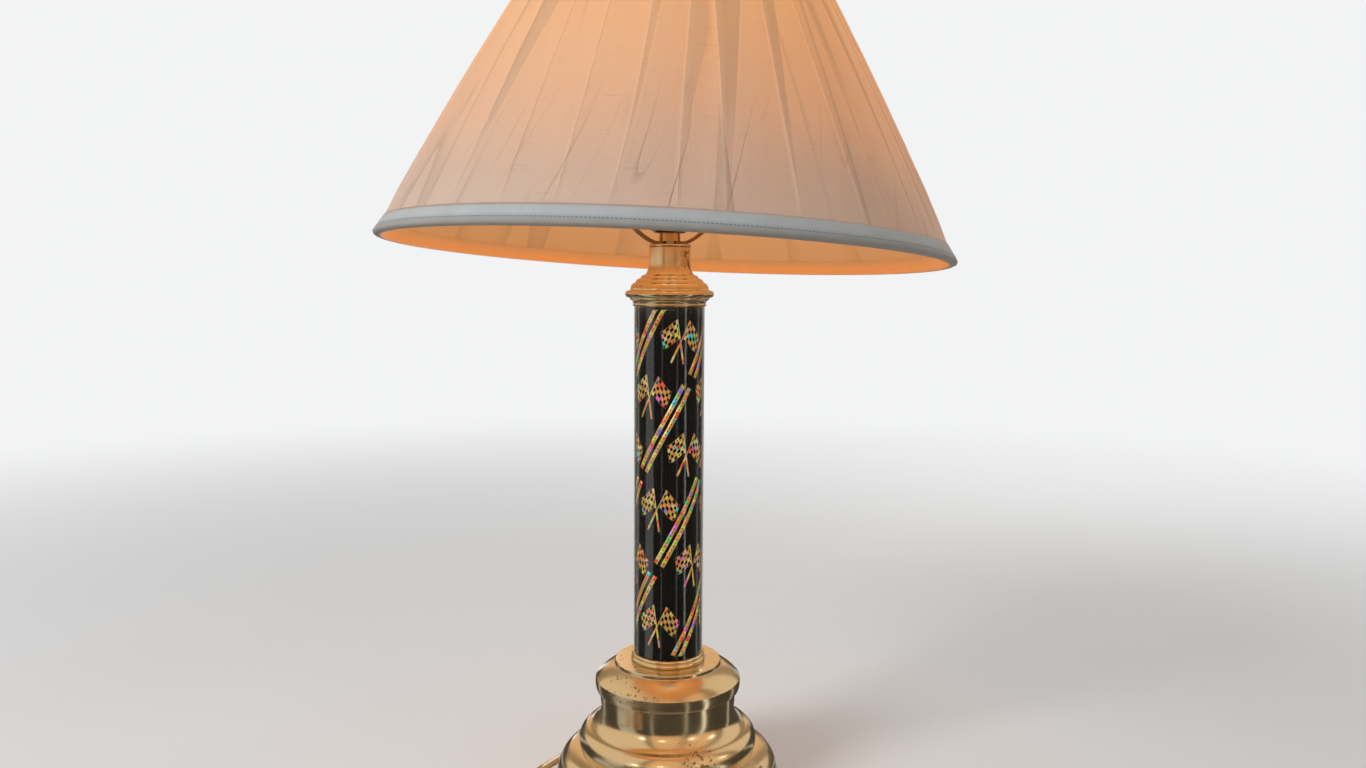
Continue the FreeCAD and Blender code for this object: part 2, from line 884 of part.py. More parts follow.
turned(
    "screw_shell",
    [
        (4.0, core_high),
        (screw_radius, core_high),
        (screw_radius, screw_top),
        (screw_radius - 0.5, screw_top),
        (screw_radius - 0.5, core_high + 0.5),
        (4.0, core_high + 0.5),
    ],
)
keep(
    joined(
        cylinder(2.4, 1.0, core_high),
        block(12, 4, 0.4, core_high + 1.0, 3.0),
    ),
    "centre_contact",
)

stem_start = 7.0
keep(toward_front(stem_radius, 20, stem_start), "knob_stem")
knob_start = stem_start + 20
knob_blank = toward_front(size.knob_radius, 9, knob_start)
grooves = []
for number in range(12):
    angle = 2 * math.pi * number / 12
    groove = cylinder(0.7, 12)
    groove.Placement = Placement(
        Vector(
            float(size.knob_radius) * math.cos(angle),
            -knob_start + 1,
            float(knob_up) + float(size.knob_radius) * math.sin(angle),
        ),
        sideways,
    )
    grooves.append(groove)
keep(cut(knob_blank, *grooves), "switch_knob")

# Bulb

bulb_low = core_high + 2.2
glass_low = screw_top + 0.3
glass_top = glass_low + size.bulb_height
turned(
    "bulb_base",
    [
        (0, bulb_low),
        (4.0, bulb_low),
        (4.0, bulb_low + 1.0),
        (size.bulb_cap_radius - 2, bulb_low + 3.2),
        (size.bulb_cap_radius, bulb_low + 4.4),
        (size.bulb_cap_radius, glass_low),
        (0, glass_low),
    ],
)
turned(
    "light_bulb",
    [
        (0, glass_low),
        (size.bulb_cap_radius - 0.3, glass_low),
        (size.bulb_cap_radius + 0.4, glass_low + 10),
        via(size.bulb_radius * 0.66, glass_low + 26),
        (size.bulb_radius * 0.93, glass_low + 40),
        via(size.bulb_radius, glass_top - size.bulb_radius),
        (size.bulb_radius * 0.82, glass_top - size.bulb_radius * 0.42),
        via(size.bulb_radius * 0.46, glass_top - size.bulb_radius * 0.1),
        (0.5, glass_top),
        (0, glass_top),
    ],
)

# Leaning frame of the harp and the shade

turn = Rotation(Vector(0, 0, 1), float(size.saddle_turn))
heading = math.radians(float(size.harp_lean_heading))
lean = Rotation(Vector(-math.sin(heading), math.cos(heading), 0), float(size.harp_lean))
saddle_middle = saddle_bottom + size.saddle_thickness / 2
level_frame = Placement(Vector(0, 0, float(saddle_middle)), turn)
harp_frame = Placement(Vector(float(size.harp_offset), 0, float(saddle_middle)), lean.multiply(turn))


def rectangle(frame, corners):
    """A closed four-sided wire, its corners given in a frame."""
    placed = [frame.multVec(Vector(*(float(value) for value in corner))) for corner in corners]
    return Part.makePolygon([*placed, placed[0]])


def saddle_arm(side):
    """One arm of the saddle, from the end of the level strap to its leaning prong."""
    root = float(size.saddle_length) / 2 - 1.5
    half, thick = float(size.saddle_width) / 2, float(size.saddle_thickness) / 2
    strap_end = rectangle(
        level_frame,
        [(side * root, -half, -thick), (side * root, half, -thick), (side * root, half, thick), (side * root, -half, thick)],
    )
    tip, width = float(size.harp_half_width), float(size.prong_thickness) / 2
    up = float(size.prong_base)
    prong_foot = rectangle(
        harp_frame,
        [
            (side * (tip + width), -half, up),
            (side * (tip + width), half, up),
            (side * (tip - width), half, up),
            (side * (tip - width), -half, up),
        ],
    )
    arm = Part.makeLoft([strap_end, prong_foot], True, True)
    prong = Part.makeBox(2 * width, 6.0, float(size.prong_height) + 0.5, Vector(side * tip - width, -3.0, up - 0.5))
    prong.Placement = harp_frame
    return arm.fuse(prong)


strap = Part.makeBox(
    float(size.saddle_length),
    float(size.saddle_width),
    float(size.saddle_thickness),
    Vector(-float(size.saddle_length) / 2, -float(size.saddle_width) / 2, -float(size.saddle_thickness) / 2),
)
strap.Placement = level_frame
saddle = strap.fuse([saddle_arm(-1), saddle_arm(1)])
saddle = saddle.cut(Part.makeCylinder(float(rod_hole), 20, Vector(0, 0, float(saddle_bottom) - 5)))
keep(feature(saddle.removeSplitter()), "harp_saddle")

foot_low = size.prong_base + 0.3
foot_high = size.prong_base + size.prong_height + 3
feet = []
for side in (-1, 1):
    tip = side * float(size.harp_half_width)
    foot = Part.makeCylinder(float(size.foot_slot_radius), float(foot_high - foot_low), Vector(tip, 0, float(foot_low)))
    slot = Part.makeBox(
        float(size.prong_thickness) + 0.3,
        20,
        float(size.prong_height),
        Vector(tip - float(size.prong_thickness) / 2 - 0.15, -10, float(foot_low)),
    )
    feet.append(foot.cut(slot))
keep(feature(Part.Compound(feet)), "harp_feet", harp_frame)

half, belly, height = (float(value) for value in (size.harp_half_width, size.harp_belly, size.harp_height))
leg_low = float(foot_high)
right_leg = [
    (half, leg_low),
    (half, leg_low + float(size.harp_leg_rise)),
    (belly - 8, leg_low + float(size.harp_flare_rise)),
    (belly, leg_low + float(size.harp_belly_rise)),
    (belly - 4, height - float(size.harp_shoulder_drop)),
    (2 * float(size.harp_crown_half) + 11, height - float(size.harp_corner_drop)),
    (float(size.harp_crown_half), height),
]
left_leg = [(-across, up) for across, up in reversed(right_leg)]
harp_path = rounded([Vector(across, 0, up) for across, up in right_leg + left_leg], "harp")
keep(feature(tube(harp_path, size.harp_wire_radius)), "harp_wire", harp_frame)

seat_low = size.harp_height + size.harp_wire_radius + 0.1
seat_high = seat_low + 1.6
turned(
    "harp_stud",
    [
        (0, seat_low),
        (6.5, seat_low),
        (6.5, seat_high),
        (size.stud_radius, seat_high),
        (size.stud_radius, seat_high + 15),
        (0, seat_high + 15.6),
    ],
    placement=harp_frame,
)
for side, label in ((-1, "left_sleeve"), (1, "right_sleeve")):
    spot = harp_frame.multiply(Placement(Vector(side * half, 0, 0), Rotation()))
    ring(
        label,
        size.foot_slot_radius + 0.1,
        size.foot_slot_radius + 1.1,
        foot_low,
        foot_low + size.sleeve_height,
        placement=spot,
    )

# Shade frame, cover, lining and trims

hub_low_face = float(seat_high) + 0.3
shade_tall = float(size.shade_height)
shade_low = hub_low_face + float(size.spider_recess) - shade_tall
shade_foot, shade_head = float(size.shade_radius), float(size.shade_top_radius)


def shade_at(up):
    """Outer radius of the smooth cover, at a height above its lower edge."""
    part = up / shade_tall
    return shade_foot + (shade_head - shade_foot) * part + 4 * float(size.shade_bulge) * part * (1 - part)


def fold_angles():
    """Uneven angles of the folds, which fan out from the top ring."""
    count = int(size.fold_count)
    return [2 * math.pi * (number + 0.28 * math.sin(2.4 * number)) / count for number in range(count)]


def folded_loop(radius, depth, up):
    """A closed ring of shallow arcs that meet in a crease at each fold."""
    angles = fold_angles()
    arcs = []
    for this, after in zip(angles, [*angles[1:], angles[0] + 2 * math.pi]):
        spots = ((this, radius - depth), ((this + after) / 2, radius), (after, radius - depth))
        points = [Vector(r * math.cos(a), r * math.sin(a), shade_low + up) for a, r in spots]
        arcs.append(Part.Arc(*points).toShape())
    return Part.Wire(arcs)


cover_levels = [0.0, 0.2, 0.45, 0.72, 1.0]


def cover_solid(inset):
    """The space inside the cover's surface, moved in by an inset."""
    loops = []
    for level in cover_levels:
        up = level * shade_tall
        depth = float(size.fold_depth) * max(0.0, level - 0.08)
        loops.append(folded_loop(shade_at(up) - inset, depth, up))
    return Part.makeLoft(loops, True, True)


cover = cover_solid(0.0).cut(cover_solid(float(size.shade_cloth)))
keep(feature(cover), "shade_cover", harp_frame)

rib_inset = float(size.shade_cloth) + float(size.fold_depth) + 0.3 + float(size.rib_radius)
wire = float(size.ring_wire_radius)
ring_inset = float(size.shade_cloth) + float(size.fold_depth) + 0.5 + wire
lining_inset = ring_inset + wire + 0.3
low_edge, high_edge, middle = 1.0, shade_tall - 7.0, shade_tall / 2
turned(
    "shade_lining",
    [
        (shade_at(low_edge) - lining_inset, shade_low + low_edge),
        via(shade_at(middle) - lining_inset, shade_low + middle),
        (shade_at(high_edge) - lining_inset, shade_low + high_edge),
        (shade_at(high_edge) - lining_inset - 0.8, shade_low + high_edge),
        via(shade_at(middle) - lining_inset - 0.8, shade_low + middle),
        (shade_at(low_edge) - lining_inset - 0.8, shade_low + low_edge),
    ],
    placement=harp_frame,
)


def wire_ring(label, up):
    """A round wire ring of the shade frame, just inside the cover."""
    made = document.addObject("Part::Torus", "Ring")
    made.Radius1 = shade_at(up) - ring_inset
    bind(made, Radius2=size.ring_wire_radius)
    made.Placement.Base = Vector(0, 0, shade_low + up)
    return keep(made, label, harp_frame)


low_ring = wire_ring("shade_ring", wire + 0.6)
top_ring = wire_ring("shade_top_ring", shade_tall - wire - 0.6)
ribs = []
for number in range(int(size.rib_count)):
    angle = 2 * math.pi * (number + 0.5) / float(size.rib_count)
    points = []
    for up in (2 * wire + 1.0, middle, shade_tall - 2 * wire - 1.0):
        reach = shade_at(up) - rib_inset
        points.append(Vector(reach * math.cos(angle), reach * math.sin(angle), shade_low + up))
    ribs.append(tube(Part.Wire(Part.Arc(*points).toShape()), size.rib_radius))
keep(feature(Part.Compound(ribs)), "shade_ribs", harp_frame)

hub_plate = Part.makeCylinder(9.0, 1.8, Vector(0, 0, hub_low_face))
arm_end = float(top_ring.Radius1) - 1.2
arm_high = shade_low + shade_tall - wire - 0.6 - 2.6
arm_middle = hub_low_face + 0.9
arms = []
for number in range(3):
    angle = 2 * math.pi * number / 3 + 0.5
    spots = [(8.2, arm_middle), (22.0, arm_middle), (arm_end - 14, arm_high - 1.4), (arm_end, arm_high)]
    points = [Vector(reach * math.cos(angle), reach * math.sin(angle), up) for reach, up in spots]
    arms.append(tube(rounded(points), size.ring_wire_radius - 0.2))
spider = hub_plate.fuse(arms).cut(Part.makeCylinder(float(size.stud_radius) + 0.4, 10, Vector(0, 0, hub_low_face - 4)))
keep(feature(spider), "shade_spider", harp_frame)

cloth = size.trim_cloth
hem = float(size.hem_height)
slope = (shade_foot - shade_at(hem)) / hem
inner = shade_foot - lining_inset - 1.2
turned(
    "hem_trim",
    [
        (inner - 0.8, shade_low - 1.2),
        (shade_foot + 1.0, shade_low - 1.2),
        (shade_foot + 1.0 - slope * hem, shade_low + hem),
        (shade_foot + 0.2 - slope * hem, shade_low + hem),
        (shade_foot + 0.2, shade_low - 0.4),
        (inner, shade_low - 0.4),
        (inner - slope * 9, shade_low + 9),
        (inner - 0.8 - slope * 9, shade_low + 9),
    ],
    placement=harp_frame,
)
head_slope = (shade_at(shade_tall - 10) - shade_head) / 10
head_inner = float(top_ring.Radius1) - wire - 0.3
head_tuck = 2.4
shade_peak = shade_low + shade_tall
turned(
    "top_trim",
    [
        (head_inner - 0.8, shade_peak + 1.2),
        (head_inner - 0.8, shade_peak - head_tuck),
        (head_inner, shade_peak - head_tuck),
        (head_inner, shade_peak + 0.4),
        (shade_head + 0.3, shade_peak + 0.4),
        (shade_head + 0.3 + head_slope * 10, shade_peak - 10),
        (shade_head + 1.1 + head_slope * 10, shade_peak - 10),
        (shade_head + 1.1, shade_peak + 1.2),
    ],
    placement=harp_frame,
)

finial_low = hub_low_face + 1.8 + 0.3
stud_hole = size.stud_radius + size.running_clearance
turned(
    "finial",
    [
        (stud_hole, finial_low),
        (7.2, finial_low),
        (7.2, finial_low + 2.0),
        via(5.6, finial_low + 4.4),
        (4.6, finial_low + 8.0),
        (6.0, finial_low + 9.4),
        (4.8, finial_low + 10.8),
        via(8.4, finial_low + 19.0),
        (5.2, finial_low + 26.4),
        via(3.4, finial_low + 28.4),
        (3.6, finial_low + 30.0),
        via(2.8, finial_low + 33.6),
        (0.5, finial_low + 35.0),
        (0, finial_low + 35.0),
        (0, finial_low + 14.5),
        (stud_hole, finial_low + 14.5),
    ],
    placement=harp_frame,
)

# Cord: bush, free stretch, coil and plug

bush_shape = along_exit(bush_sleeve, 4.4, 0).fuse(along_exit(bush_bore + 1.9, 1.4, 3.2))
bush_shape = bush_shape.cut(along_exit(bush_bore, 12, -2))
keep(feature(bush_shape), "cord_bushing")

floor = 3.2
cord_start = exit_at + exit_out * 0.2
coil_middle = Vector(-146.0, -116.0, 0)
coil_start = coil_middle + Vector(float(size.coil_radius), 0, floor)
lead = float(size.cord_diameter)
plug_reach = 36.0
route = [
    cord_start,
    cord_start + exit_out * 24,
    Vector(17.5, 121.5, 4.4),
    Vector(-1.5, 137.5, floor),
    Vector(-26, 141, floor),
    Vector(-48.5, 130, floor),
    Vector(-62.5, 107.5, floor),
    Vector(-70, 80.5, floor),
    Vector(-76, 52, floor),
    Vector(-94, 26, floor),
    Vector(-108, -2, floor),
    Vector(-110, -36, floor),
    Vector(-100, -74, floor),
    coil_start + Vector(0, lead, 0),
]
cord_path = rounded(route, "cord")
keep(feature(tube(cord_path, cord_radius)), "power_cord")

step = float(size.coil_pitch) / 2
upper = floor + float(size.coil_pitch)


def half_circle(start, toward, width):
    """A half turn clockwise, as two quarter arcs, from start heading along toward to the far side."""
    across = Vector(toward.y, -toward.x, 0) * width
    stop = start + across
    crown = start + across * 0.5 + toward * (width / 2)
    quarter = start + toward * (width / 2)
    far = stop + toward * (width / 2)
    return [corner_arc(start, quarter, crown), corner_arc(crown, far, stop)], stop


def climbing_half(start, toward, width, rise):
    """A half turn that also climbs, as two arcs in tilted planes that meet smoothly half way."""
    stop = start + Vector(toward.y, -toward.x, 0) * width + Vector(0, 0, rise)
    reach = (stop - start).Length / 2
    first, second = start + toward * reach, stop + toward * reach
    middle = (first + second) * 0.5
    return [corner_arc(start, first, middle), corner_arc(middle, second, stop)], stop


coil_edges = [Part.LineSegment(coil_start + Vector(0, lead, 0), coil_start).toShape()]
spot, toward = coil_start, Vector(0, -1, 0)
radius = float(size.coil_radius)
halves = int(size.coil_half_turns)
for number in range(halves):
    edges, spot = half_circle(spot, toward, 2 * (radius - step * number))
    coil_edges += edges
    toward = toward * -1
edges, spot = climbing_half(spot, toward, 2 * (radius - step * halves), upper - floor)
coil_edges += edges
toward = toward * -1
for number in range(halves):
    edges, spot = half_circle(spot, toward, 2 * (radius - step * (halves - number) + step))
    coil_edges += edges
    toward = toward * -1
coil_end = spot + toward * plug_reach
coil_edges.append(Part.LineSegment(spot, coil_end).toShape())
coil_path = Part.Wire(coil_edges)
keep(feature(tube(coil_path, cord_radius)), "cord_coil")


def self_gap(path, diameter):
    """Least clear distance between turns of a path, measured on points two millimetres apart."""
    points = path.discretize(Distance=2.0)
    apart = int(4 * diameter)
    least = math.inf
    for index, point in enumerate(points):
        for other in points[index + apart :]:
            least = min(least, (other - point).Length)
    return least - diameter


print("coil gap to itself", round(self_gap(coil_path, float(size.cord_diameter)), 2))
print("cord length", round(cord_path.Length + coil_path.Length, 1))

plug_wide, plug_tall, plug_long = 15.0, 2 * upper, 27.0
plug_low = Vector(coil_end.x - plug_wide / 2, coil_end.y + 6, 0)
plug_body = Part.makeBox(plug_wide, plug_long, plug_tall, plug_low)
upright = [edge for edge in plug_body.Edges if edge.BoundBox.ZLength > plug_tall - 0.1]
plug_body = plug_body.makeFillet(3.0, upright)
relief = Part.makeCone(float(cord_radius) + 0.6, float(cord_radius) + 2.4, 6.5, coil_end, Vector(0, 1, 0))
plug_body = plug_body.fuse(relief).removeSplitter()
blades = []
for side in (-1, 1):
    middle = upper + side * 6.35
    corner = Vector(coil_end.x - 0.75, plug_low.y + plug_long - 6, middle - 3.2)
    blade = Part.makeBox(1.5, 6 + 17.5, 6.4, corner)
    hole = Part.makeCylinder(1.6, 6, Vector(coil_end.x - 3, corner.y + 20.5, middle), Vector(1, 0, 0))
    plug_body = plug_body.cut(blade)
    blades.append(blade.cut(hole))
keep(feature(plug_body), "cord_plug")
keep(feature(Part.Compound(blades)), "plug_blades")

# Check and write

document.recompute()
for thing in document.Objects:
    if "Invalid" in thing.State or "Error" in thing.State:
        raise RuntimeError(f"{thing.Name} ({thing.Label}) failed: {thing.State}")
os.makedirs("parts", exist_ok=True)
for label, thing in nodes.items():
    if thing.Shape.isNull() or not thing.Shape.isValid():
        raise RuntimeError(f"{label} has no valid shape")
    thing.Shape.exportStep(os.path.join("parts", f"{label}.step"))
print(len(nodes), "sub-parts written")
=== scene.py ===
# %% [markdown]
# # Rotating motion lamp
# A table lamp whose patterned black drum turns inside a clear tube, between a spun brass base and a brass
# cap. A pleated shade hangs on a harp above it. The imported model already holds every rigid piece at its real
# size, so this notebook gives those pieces their finish, and models what cloth, foil and cord look like.

# %% Load the frame
import json
import math

import bpy
import numpy as np
from mathutils import Matrix, Vector


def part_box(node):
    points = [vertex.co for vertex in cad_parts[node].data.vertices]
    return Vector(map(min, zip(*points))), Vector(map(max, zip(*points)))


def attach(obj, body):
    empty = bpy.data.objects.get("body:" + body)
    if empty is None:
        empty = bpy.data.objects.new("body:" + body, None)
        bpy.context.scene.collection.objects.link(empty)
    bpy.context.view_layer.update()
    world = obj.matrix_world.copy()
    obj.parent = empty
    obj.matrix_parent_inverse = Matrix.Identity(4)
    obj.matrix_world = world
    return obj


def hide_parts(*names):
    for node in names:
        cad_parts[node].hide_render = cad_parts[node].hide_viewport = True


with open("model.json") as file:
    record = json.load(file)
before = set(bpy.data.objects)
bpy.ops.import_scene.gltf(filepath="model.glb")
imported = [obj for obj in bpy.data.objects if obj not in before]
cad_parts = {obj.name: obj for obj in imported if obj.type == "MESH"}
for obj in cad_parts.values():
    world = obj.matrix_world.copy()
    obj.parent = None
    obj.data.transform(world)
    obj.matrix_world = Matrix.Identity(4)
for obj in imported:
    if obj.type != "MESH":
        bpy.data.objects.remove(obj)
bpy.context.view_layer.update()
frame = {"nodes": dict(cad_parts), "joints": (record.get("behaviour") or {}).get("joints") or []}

nodes = frame["nodes"]
joints = {joint["name"]: joint for joint in frame["joints"]}
MM = 0.001

# %% [markdown]
# ## Camera
# The picture was taken from a little above the middle of the lamp, about three quarters of a metre away, with
# a wide lens and a slight roll. The camera's numbers were fitted to the outlines in the picture, so that a
# difference in the render is a difference in the model.

# %% Camera
camera_data = bpy.data.cameras.new("camera")
camera = bpy.data.objects.new("camera", camera_data)
bpy.context.scene.collection.objects.link(camera)
bpy.context.scene.camera = camera
SENSOR_WIDTH = 36.0
FOCAL_PIXELS, PICTURE_WIDTH = 1063.0, 1366.0
CAMERA_PLACE = Vector((10.1, -770.45, 380.25)) * MM
LOOK_DOWN, ROLL = math.radians(5.71), math.radians(0.33)
camera_data.sensor_width = SENSOR_WIDTH
camera_data.lens = SENSOR_WIDTH * FOCAL_PIXELS / PICTURE_WIDTH
camera_data.clip_start, camera_data.clip_end = 0.02, 60.0
tilt = Matrix.Rotation(math.pi / 2 - LOOK_DOWN, 4, "X") @ Matrix.Rotation(ROLL, 4, "Z")
camera.matrix_world = Matrix.Translation(CAMERA_PLACE) @ tilt
print("lens", round(camera_data.lens, 2), "mm")

# %% [markdown]
# ## Surfaces on a grid
# Every new piece here is a function of two parameters, worked out for a whole grid of points at once. One
# helper turns such a grid into a mesh: rows run one way, columns the other, and either way can close on
# itself.

# %% Grid to mesh


def grid_faces(rows, columns, wrap_rows=False, wrap_columns=False):
    """Quads between neighbouring rows and columns; the last row or column joins the first where it wraps."""
    row = np.arange(rows if wrap_rows else rows - 1)[:, None]
    column = np.arange(columns if wrap_columns else columns - 1)[None, :]
    next_row, next_column = (row + 1) % rows, (column + 1) % columns
    corners = (row * columns + column, row * columns + next_column,
               next_row * columns + next_column, next_row * columns + column)
    return np.stack([np.broadcast_to(c, (row.size, column.size)) for c in corners], -1).reshape(-1, 4)


def mesh_piece(name, points, faces, body, material, smooth=True):
    """A mesh object from an array of points and arrays of faces, each array of one kind, riding on a body."""
    points = np.asarray(points, np.float32).reshape(-1, 3)
    sizes = np.concatenate([np.full(len(kind), kind.shape[1]) for kind in faces])
    corners = np.concatenate([kind.ravel() for kind in faces]).astype(np.int32)
    mesh = bpy.data.meshes.new(name)
    mesh.vertices.add(len(points))
    mesh.vertices.foreach_set("co", points.ravel())
    mesh.loops.add(len(corners))
    mesh.loops.foreach_set("vertex_index", corners)
    mesh.polygons.add(len(sizes))
    mesh.polygons.foreach_set("loop_start", (np.cumsum(sizes) - sizes).astype(np.int32))
    mesh.polygons.foreach_set("use_smooth", np.full(len(sizes), smooth))
    mesh.update(calc_edges=True)
    mesh.materials.append(material)
    piece = bpy.data.objects.new(name, mesh)
    bpy.context.scene.collection.objects.link(piece)
    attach(piece, body)
    return piece


def give_attribute(piece, name, values):
    """One number for each vertex, which a material can read by name."""
    made = piece.data.attributes.new(name, "FLOAT", "POINT")
    made.data.foreach_set("value", np.asarray(values, np.float32).ravel())


def give_uv(piece, across, along):
    """A UV map in metres, so that a weave has its real scale, from one pair of numbers for each vertex."""
    layer = piece.data.uv_layers.new(name="Cloth")
    corners = np.empty(len(piece.data.loops), np.int32)
    piece.data.loops.foreach_get("vertex_index", corners)
    pairs = np.stack([np.asarray(across).ravel()[corners], np.asarray(along).ravel()[corners]], -1)
    layer.data.foreach_set("uv", pairs.astype(np.float32).ravel())


def lathe_points(radii, heights, around):
    """A profile of radii and heights turned about the upright axis: one row for each profile point."""
    angle = np.linspace(0, 2 * math.pi, around, endpoint=False)[None, :]
    radii, heights = np.asarray(radii, float)[:, None], np.asarray(heights, float)[:, None]
    return np.stack([radii * np.cos(angle), radii * np.sin(angle), heights + 0 * angle], -1)


def run_along(line):
    """The distance along a line at each of its points."""
    return np.append(0, np.cumsum(np.linalg.norm(np.diff(line, axis=0), axis=1)))


def loop_area(loop):
    """The area inside a closed loop of flat points; it is below nought where the loop runs clockwise."""
    across, up = loop[:, 0], loop[:, 1]
    return 0.5 * np.sum(across * np.roll(up, -1) - np.roll(across, -1) * up)


def thicken(piece, thickness, offset):
    """Gives a sheet its thickness in millimetres: outwards for an offset of one, inwards for minus one."""
    sheet_body = piece.modifiers.new("sheet thickness", "SOLIDIFY")
    sheet_body.thickness = thickness * MM
    sheet_body.offset = offset


# %% [markdown]
# ## Building materials
# Materials are node trees made in code. A small helper adds a node, sets its fields and links its inputs in
# one call, and another starts a shared group with named sockets, so that an effect is built once and used
# many times.

# %% Node helpers


def feed(node, inputs=None, **named):
    """Sets or links a node's inputs, by name or number; an underscore in a keyword stands for a space."""
    spaced = {name.replace("_", " "): value for name, value in named.items()}
    for key, value in {**(inputs or {}), **spaced}.items():
        if isinstance(value, bpy.types.NodeSocket):
            node.id_data.links.new(value, node.inputs[key])
        else:
            node.inputs[key].default_value = value


def add(tree, kind, inputs=None, **fields):
    """A node with its fields set and its inputs fed, by name or number."""
    node = tree.nodes.new(kind)
    for name, value in fields.items():
        setattr(node, name, value)
    feed(node, inputs)
    return node


def ramp(tree, factor, stops, smooth="LINEAR"):
    """A colour ramp whose stops are pairs of place and colour."""
    node = add(tree, "ShaderNodeValToRGB", {"Fac": factor})
    node.color_ramp.interpolation = smooth
    elements = node.color_ramp.elements
    while len(elements) < len(stops):
        elements.new(0.5)
    for element, (place, colour) in zip(elements, stops):
        element.position = place
        element.color = (*colour, 1.0)
    return node.outputs["Color"]


def maths(tree, operation, *values):
    """The result of one math node."""
    return add(tree, "ShaderNodeMath", dict(enumerate(values)), operation=operation).outputs[0]


def mixed(tree, factor, first, second, blend="MIX"):
    """Two colours mixed by a factor."""
    inputs = {"Factor": factor, 6: first, 7: second}
    return add(tree, "ShaderNodeMix", inputs, data_type="RGBA", blend_type=blend).outputs[2]


def shaded(colour, shade):
    """A colour made darker by a shade between nought and one."""
    return mixed(colour.id_data, 1.0, colour, shade, "MULTIPLY")


def dimmed(mask, share):
    """One minus a mask times a share: the light that is left where the mask darkens a surface."""
    tree = mask.id_data
    return maths(tree, "SUBTRACT", 1.0, maths(tree, "MULTIPLY", mask, share))


def noise(tree, place, scale, detail):
    """The level of a noise between nought and one."""
    return add(tree, "ShaderNodeTexNoise", {"Vector": place, "Scale": scale, "Detail": detail}).outputs[0]


def swing(tree, level, spread):
    """How far a noise is from its middle level, times a spread."""
    return maths(tree, "MULTIPLY", maths(tree, "SUBTRACT", level, 0.5), spread)


def share_between(tree, value, start, stop, **fields):
    """Nought where a value is at the start, one where it is at the stop, and held there beyond both."""
    return add(tree, "ShaderNodeMapRange", {0: value, 1: start, 2: stop}, clamp=True, **fields).outputs[0]


def split(tree, place):
    """The three parts of a place."""
    return add(tree, "ShaderNodeSeparateXYZ", {0: place}).outputs


def shared_group(name, inputs, outputs):
    """An empty node group with named sockets, and its two ends."""
    tree = bpy.data.node_groups.new(name, "ShaderNodeTree")
    for socket, (kind, value) in inputs.items():
        made = tree.interface.new_socket(name=socket, in_out="INPUT", socket_type="NodeSocket" + kind)
        made.default_value = value
    for socket, kind in outputs.items():
        tree.interface.new_socket(name=socket, in_out="OUTPUT", socket_type="NodeSocket" + kind)
    return tree, tree.nodes.new("NodeGroupInput").outputs, tree.nodes.new("NodeGroupOutput")


def placed(tree, group, **inputs):
    """The outputs of a shared group placed in a material; an underscore in a name stands for a space."""
    node = add(tree, "ShaderNodeGroup", node_tree=group)
    feed(node, **inputs)
    return node.outputs


def new_material(name, **plain):
    """A material with its Principled shader's plain sockets set."""
    material = bpy.data.materials.new(name)
    material.use_nodes = True
    shader = material.node_tree.nodes["Principled BSDF"]
    feed(shader, **plain)
    return material, material.node_tree, shader


def object_place(tree):
    """Object coordinates."""
    return add(tree, "ShaderNodeTexCoord").outputs["Object"]


def cloth_place(tree):
    """The place on a flat sheet, in metres."""
    return add(tree, "ShaderNodeUVMap", uv_map="Cloth").outputs[0]


def read_attribute(tree, name):
    """The number that a mesh carries at each vertex under a name."""
    return add(tree, "ShaderNodeAttribute", attribute_name=name).outputs["Fac"]


def linear(red, green, blue):
    """A colour given as seen on a screen, 0 to 255, in the linear numbers that shaders use."""
    part = np.array([red, green, blue]) / 255.0
    return tuple(float(v) for v in np.where(part <= 0.04045, part / 12.92, ((part + 0.055) / 1.055) ** 2.4))


# %% [markdown]
# ## Cord
# The lamp has a flat twin cord of clear golden vinyl with two stranded conductors. Only a short stretch shows
# beside the base at the left; the rest is put away in a neat coil, out of the picture. Its line is one smooth
# spline that follows listed points, then a flat spiral inward and another outward on top of it. The
# section of two round lobes is carried along that line.

# %% Cord line
CORD_WIDTH, CORD_THICKNESS = 6.2, 3.3
LOW = CORD_THICKNESS / 2 + 0.05
HEADING = math.radians(76.0)
cord_out = np.array([math.cos(HEADING), math.sin(HEADING), 0.0])
EXIT_HEIGHT, EXIT_REACH = 7.6, 80.2
cord_start = cord_out * EXIT_REACH + [0, 0, EXIT_HEIGHT]
COIL_MIDDLE = np.array([-146.0, -116.0, 0.0])
COIL_RADIUS, COIL_PITCH, COIL_TURNS = 46.0, 6.65, 3
POINTS_A_TURN = 16

route = [
    cord_start,
    cord_start + cord_out * 24,
    (17.5, 121.5, 3.6),
    (-1.5, 137.5, LOW),
    (-26, 141, LOW),
    (-48.5, 130, LOW),
    (-62.5, 107.5, LOW),
    (-70, 80.5, LOW),
    (-76, 52, LOW),
    (-94, 26, LOW),
    (-108, -2, LOW),
    (-110, -36, LOW),
    (-100, -74, LOW),
]


def coil_points():
    """A flat spiral inward for three turns, half a turn that climbs a layer, and a spiral outward on top."""
    inward = 2 * math.pi * COIL_TURNS
    sweep = np.arange(0, 2 * inward + math.pi + 1e-6, 2 * math.pi / POINTS_A_TURN)
    step = COIL_PITCH / (2 * math.pi)
    radius = COIL_RADIUS - step * np.minimum(sweep, inward) + step * np.maximum(sweep - inward - math.pi, 0)
    climb = np.clip((sweep - inward) / math.pi, 0, 1)
    height = LOW + climb * (CORD_THICKNESS + 0.1)
    spread = 1 / math.cos(math.pi / POINTS_A_TURN)
    across, along = radius * spread * np.cos(-sweep), radius * spread * np.sin(-sweep)
    return COIL_MIDDLE + np.stack([across, along, height], -1)


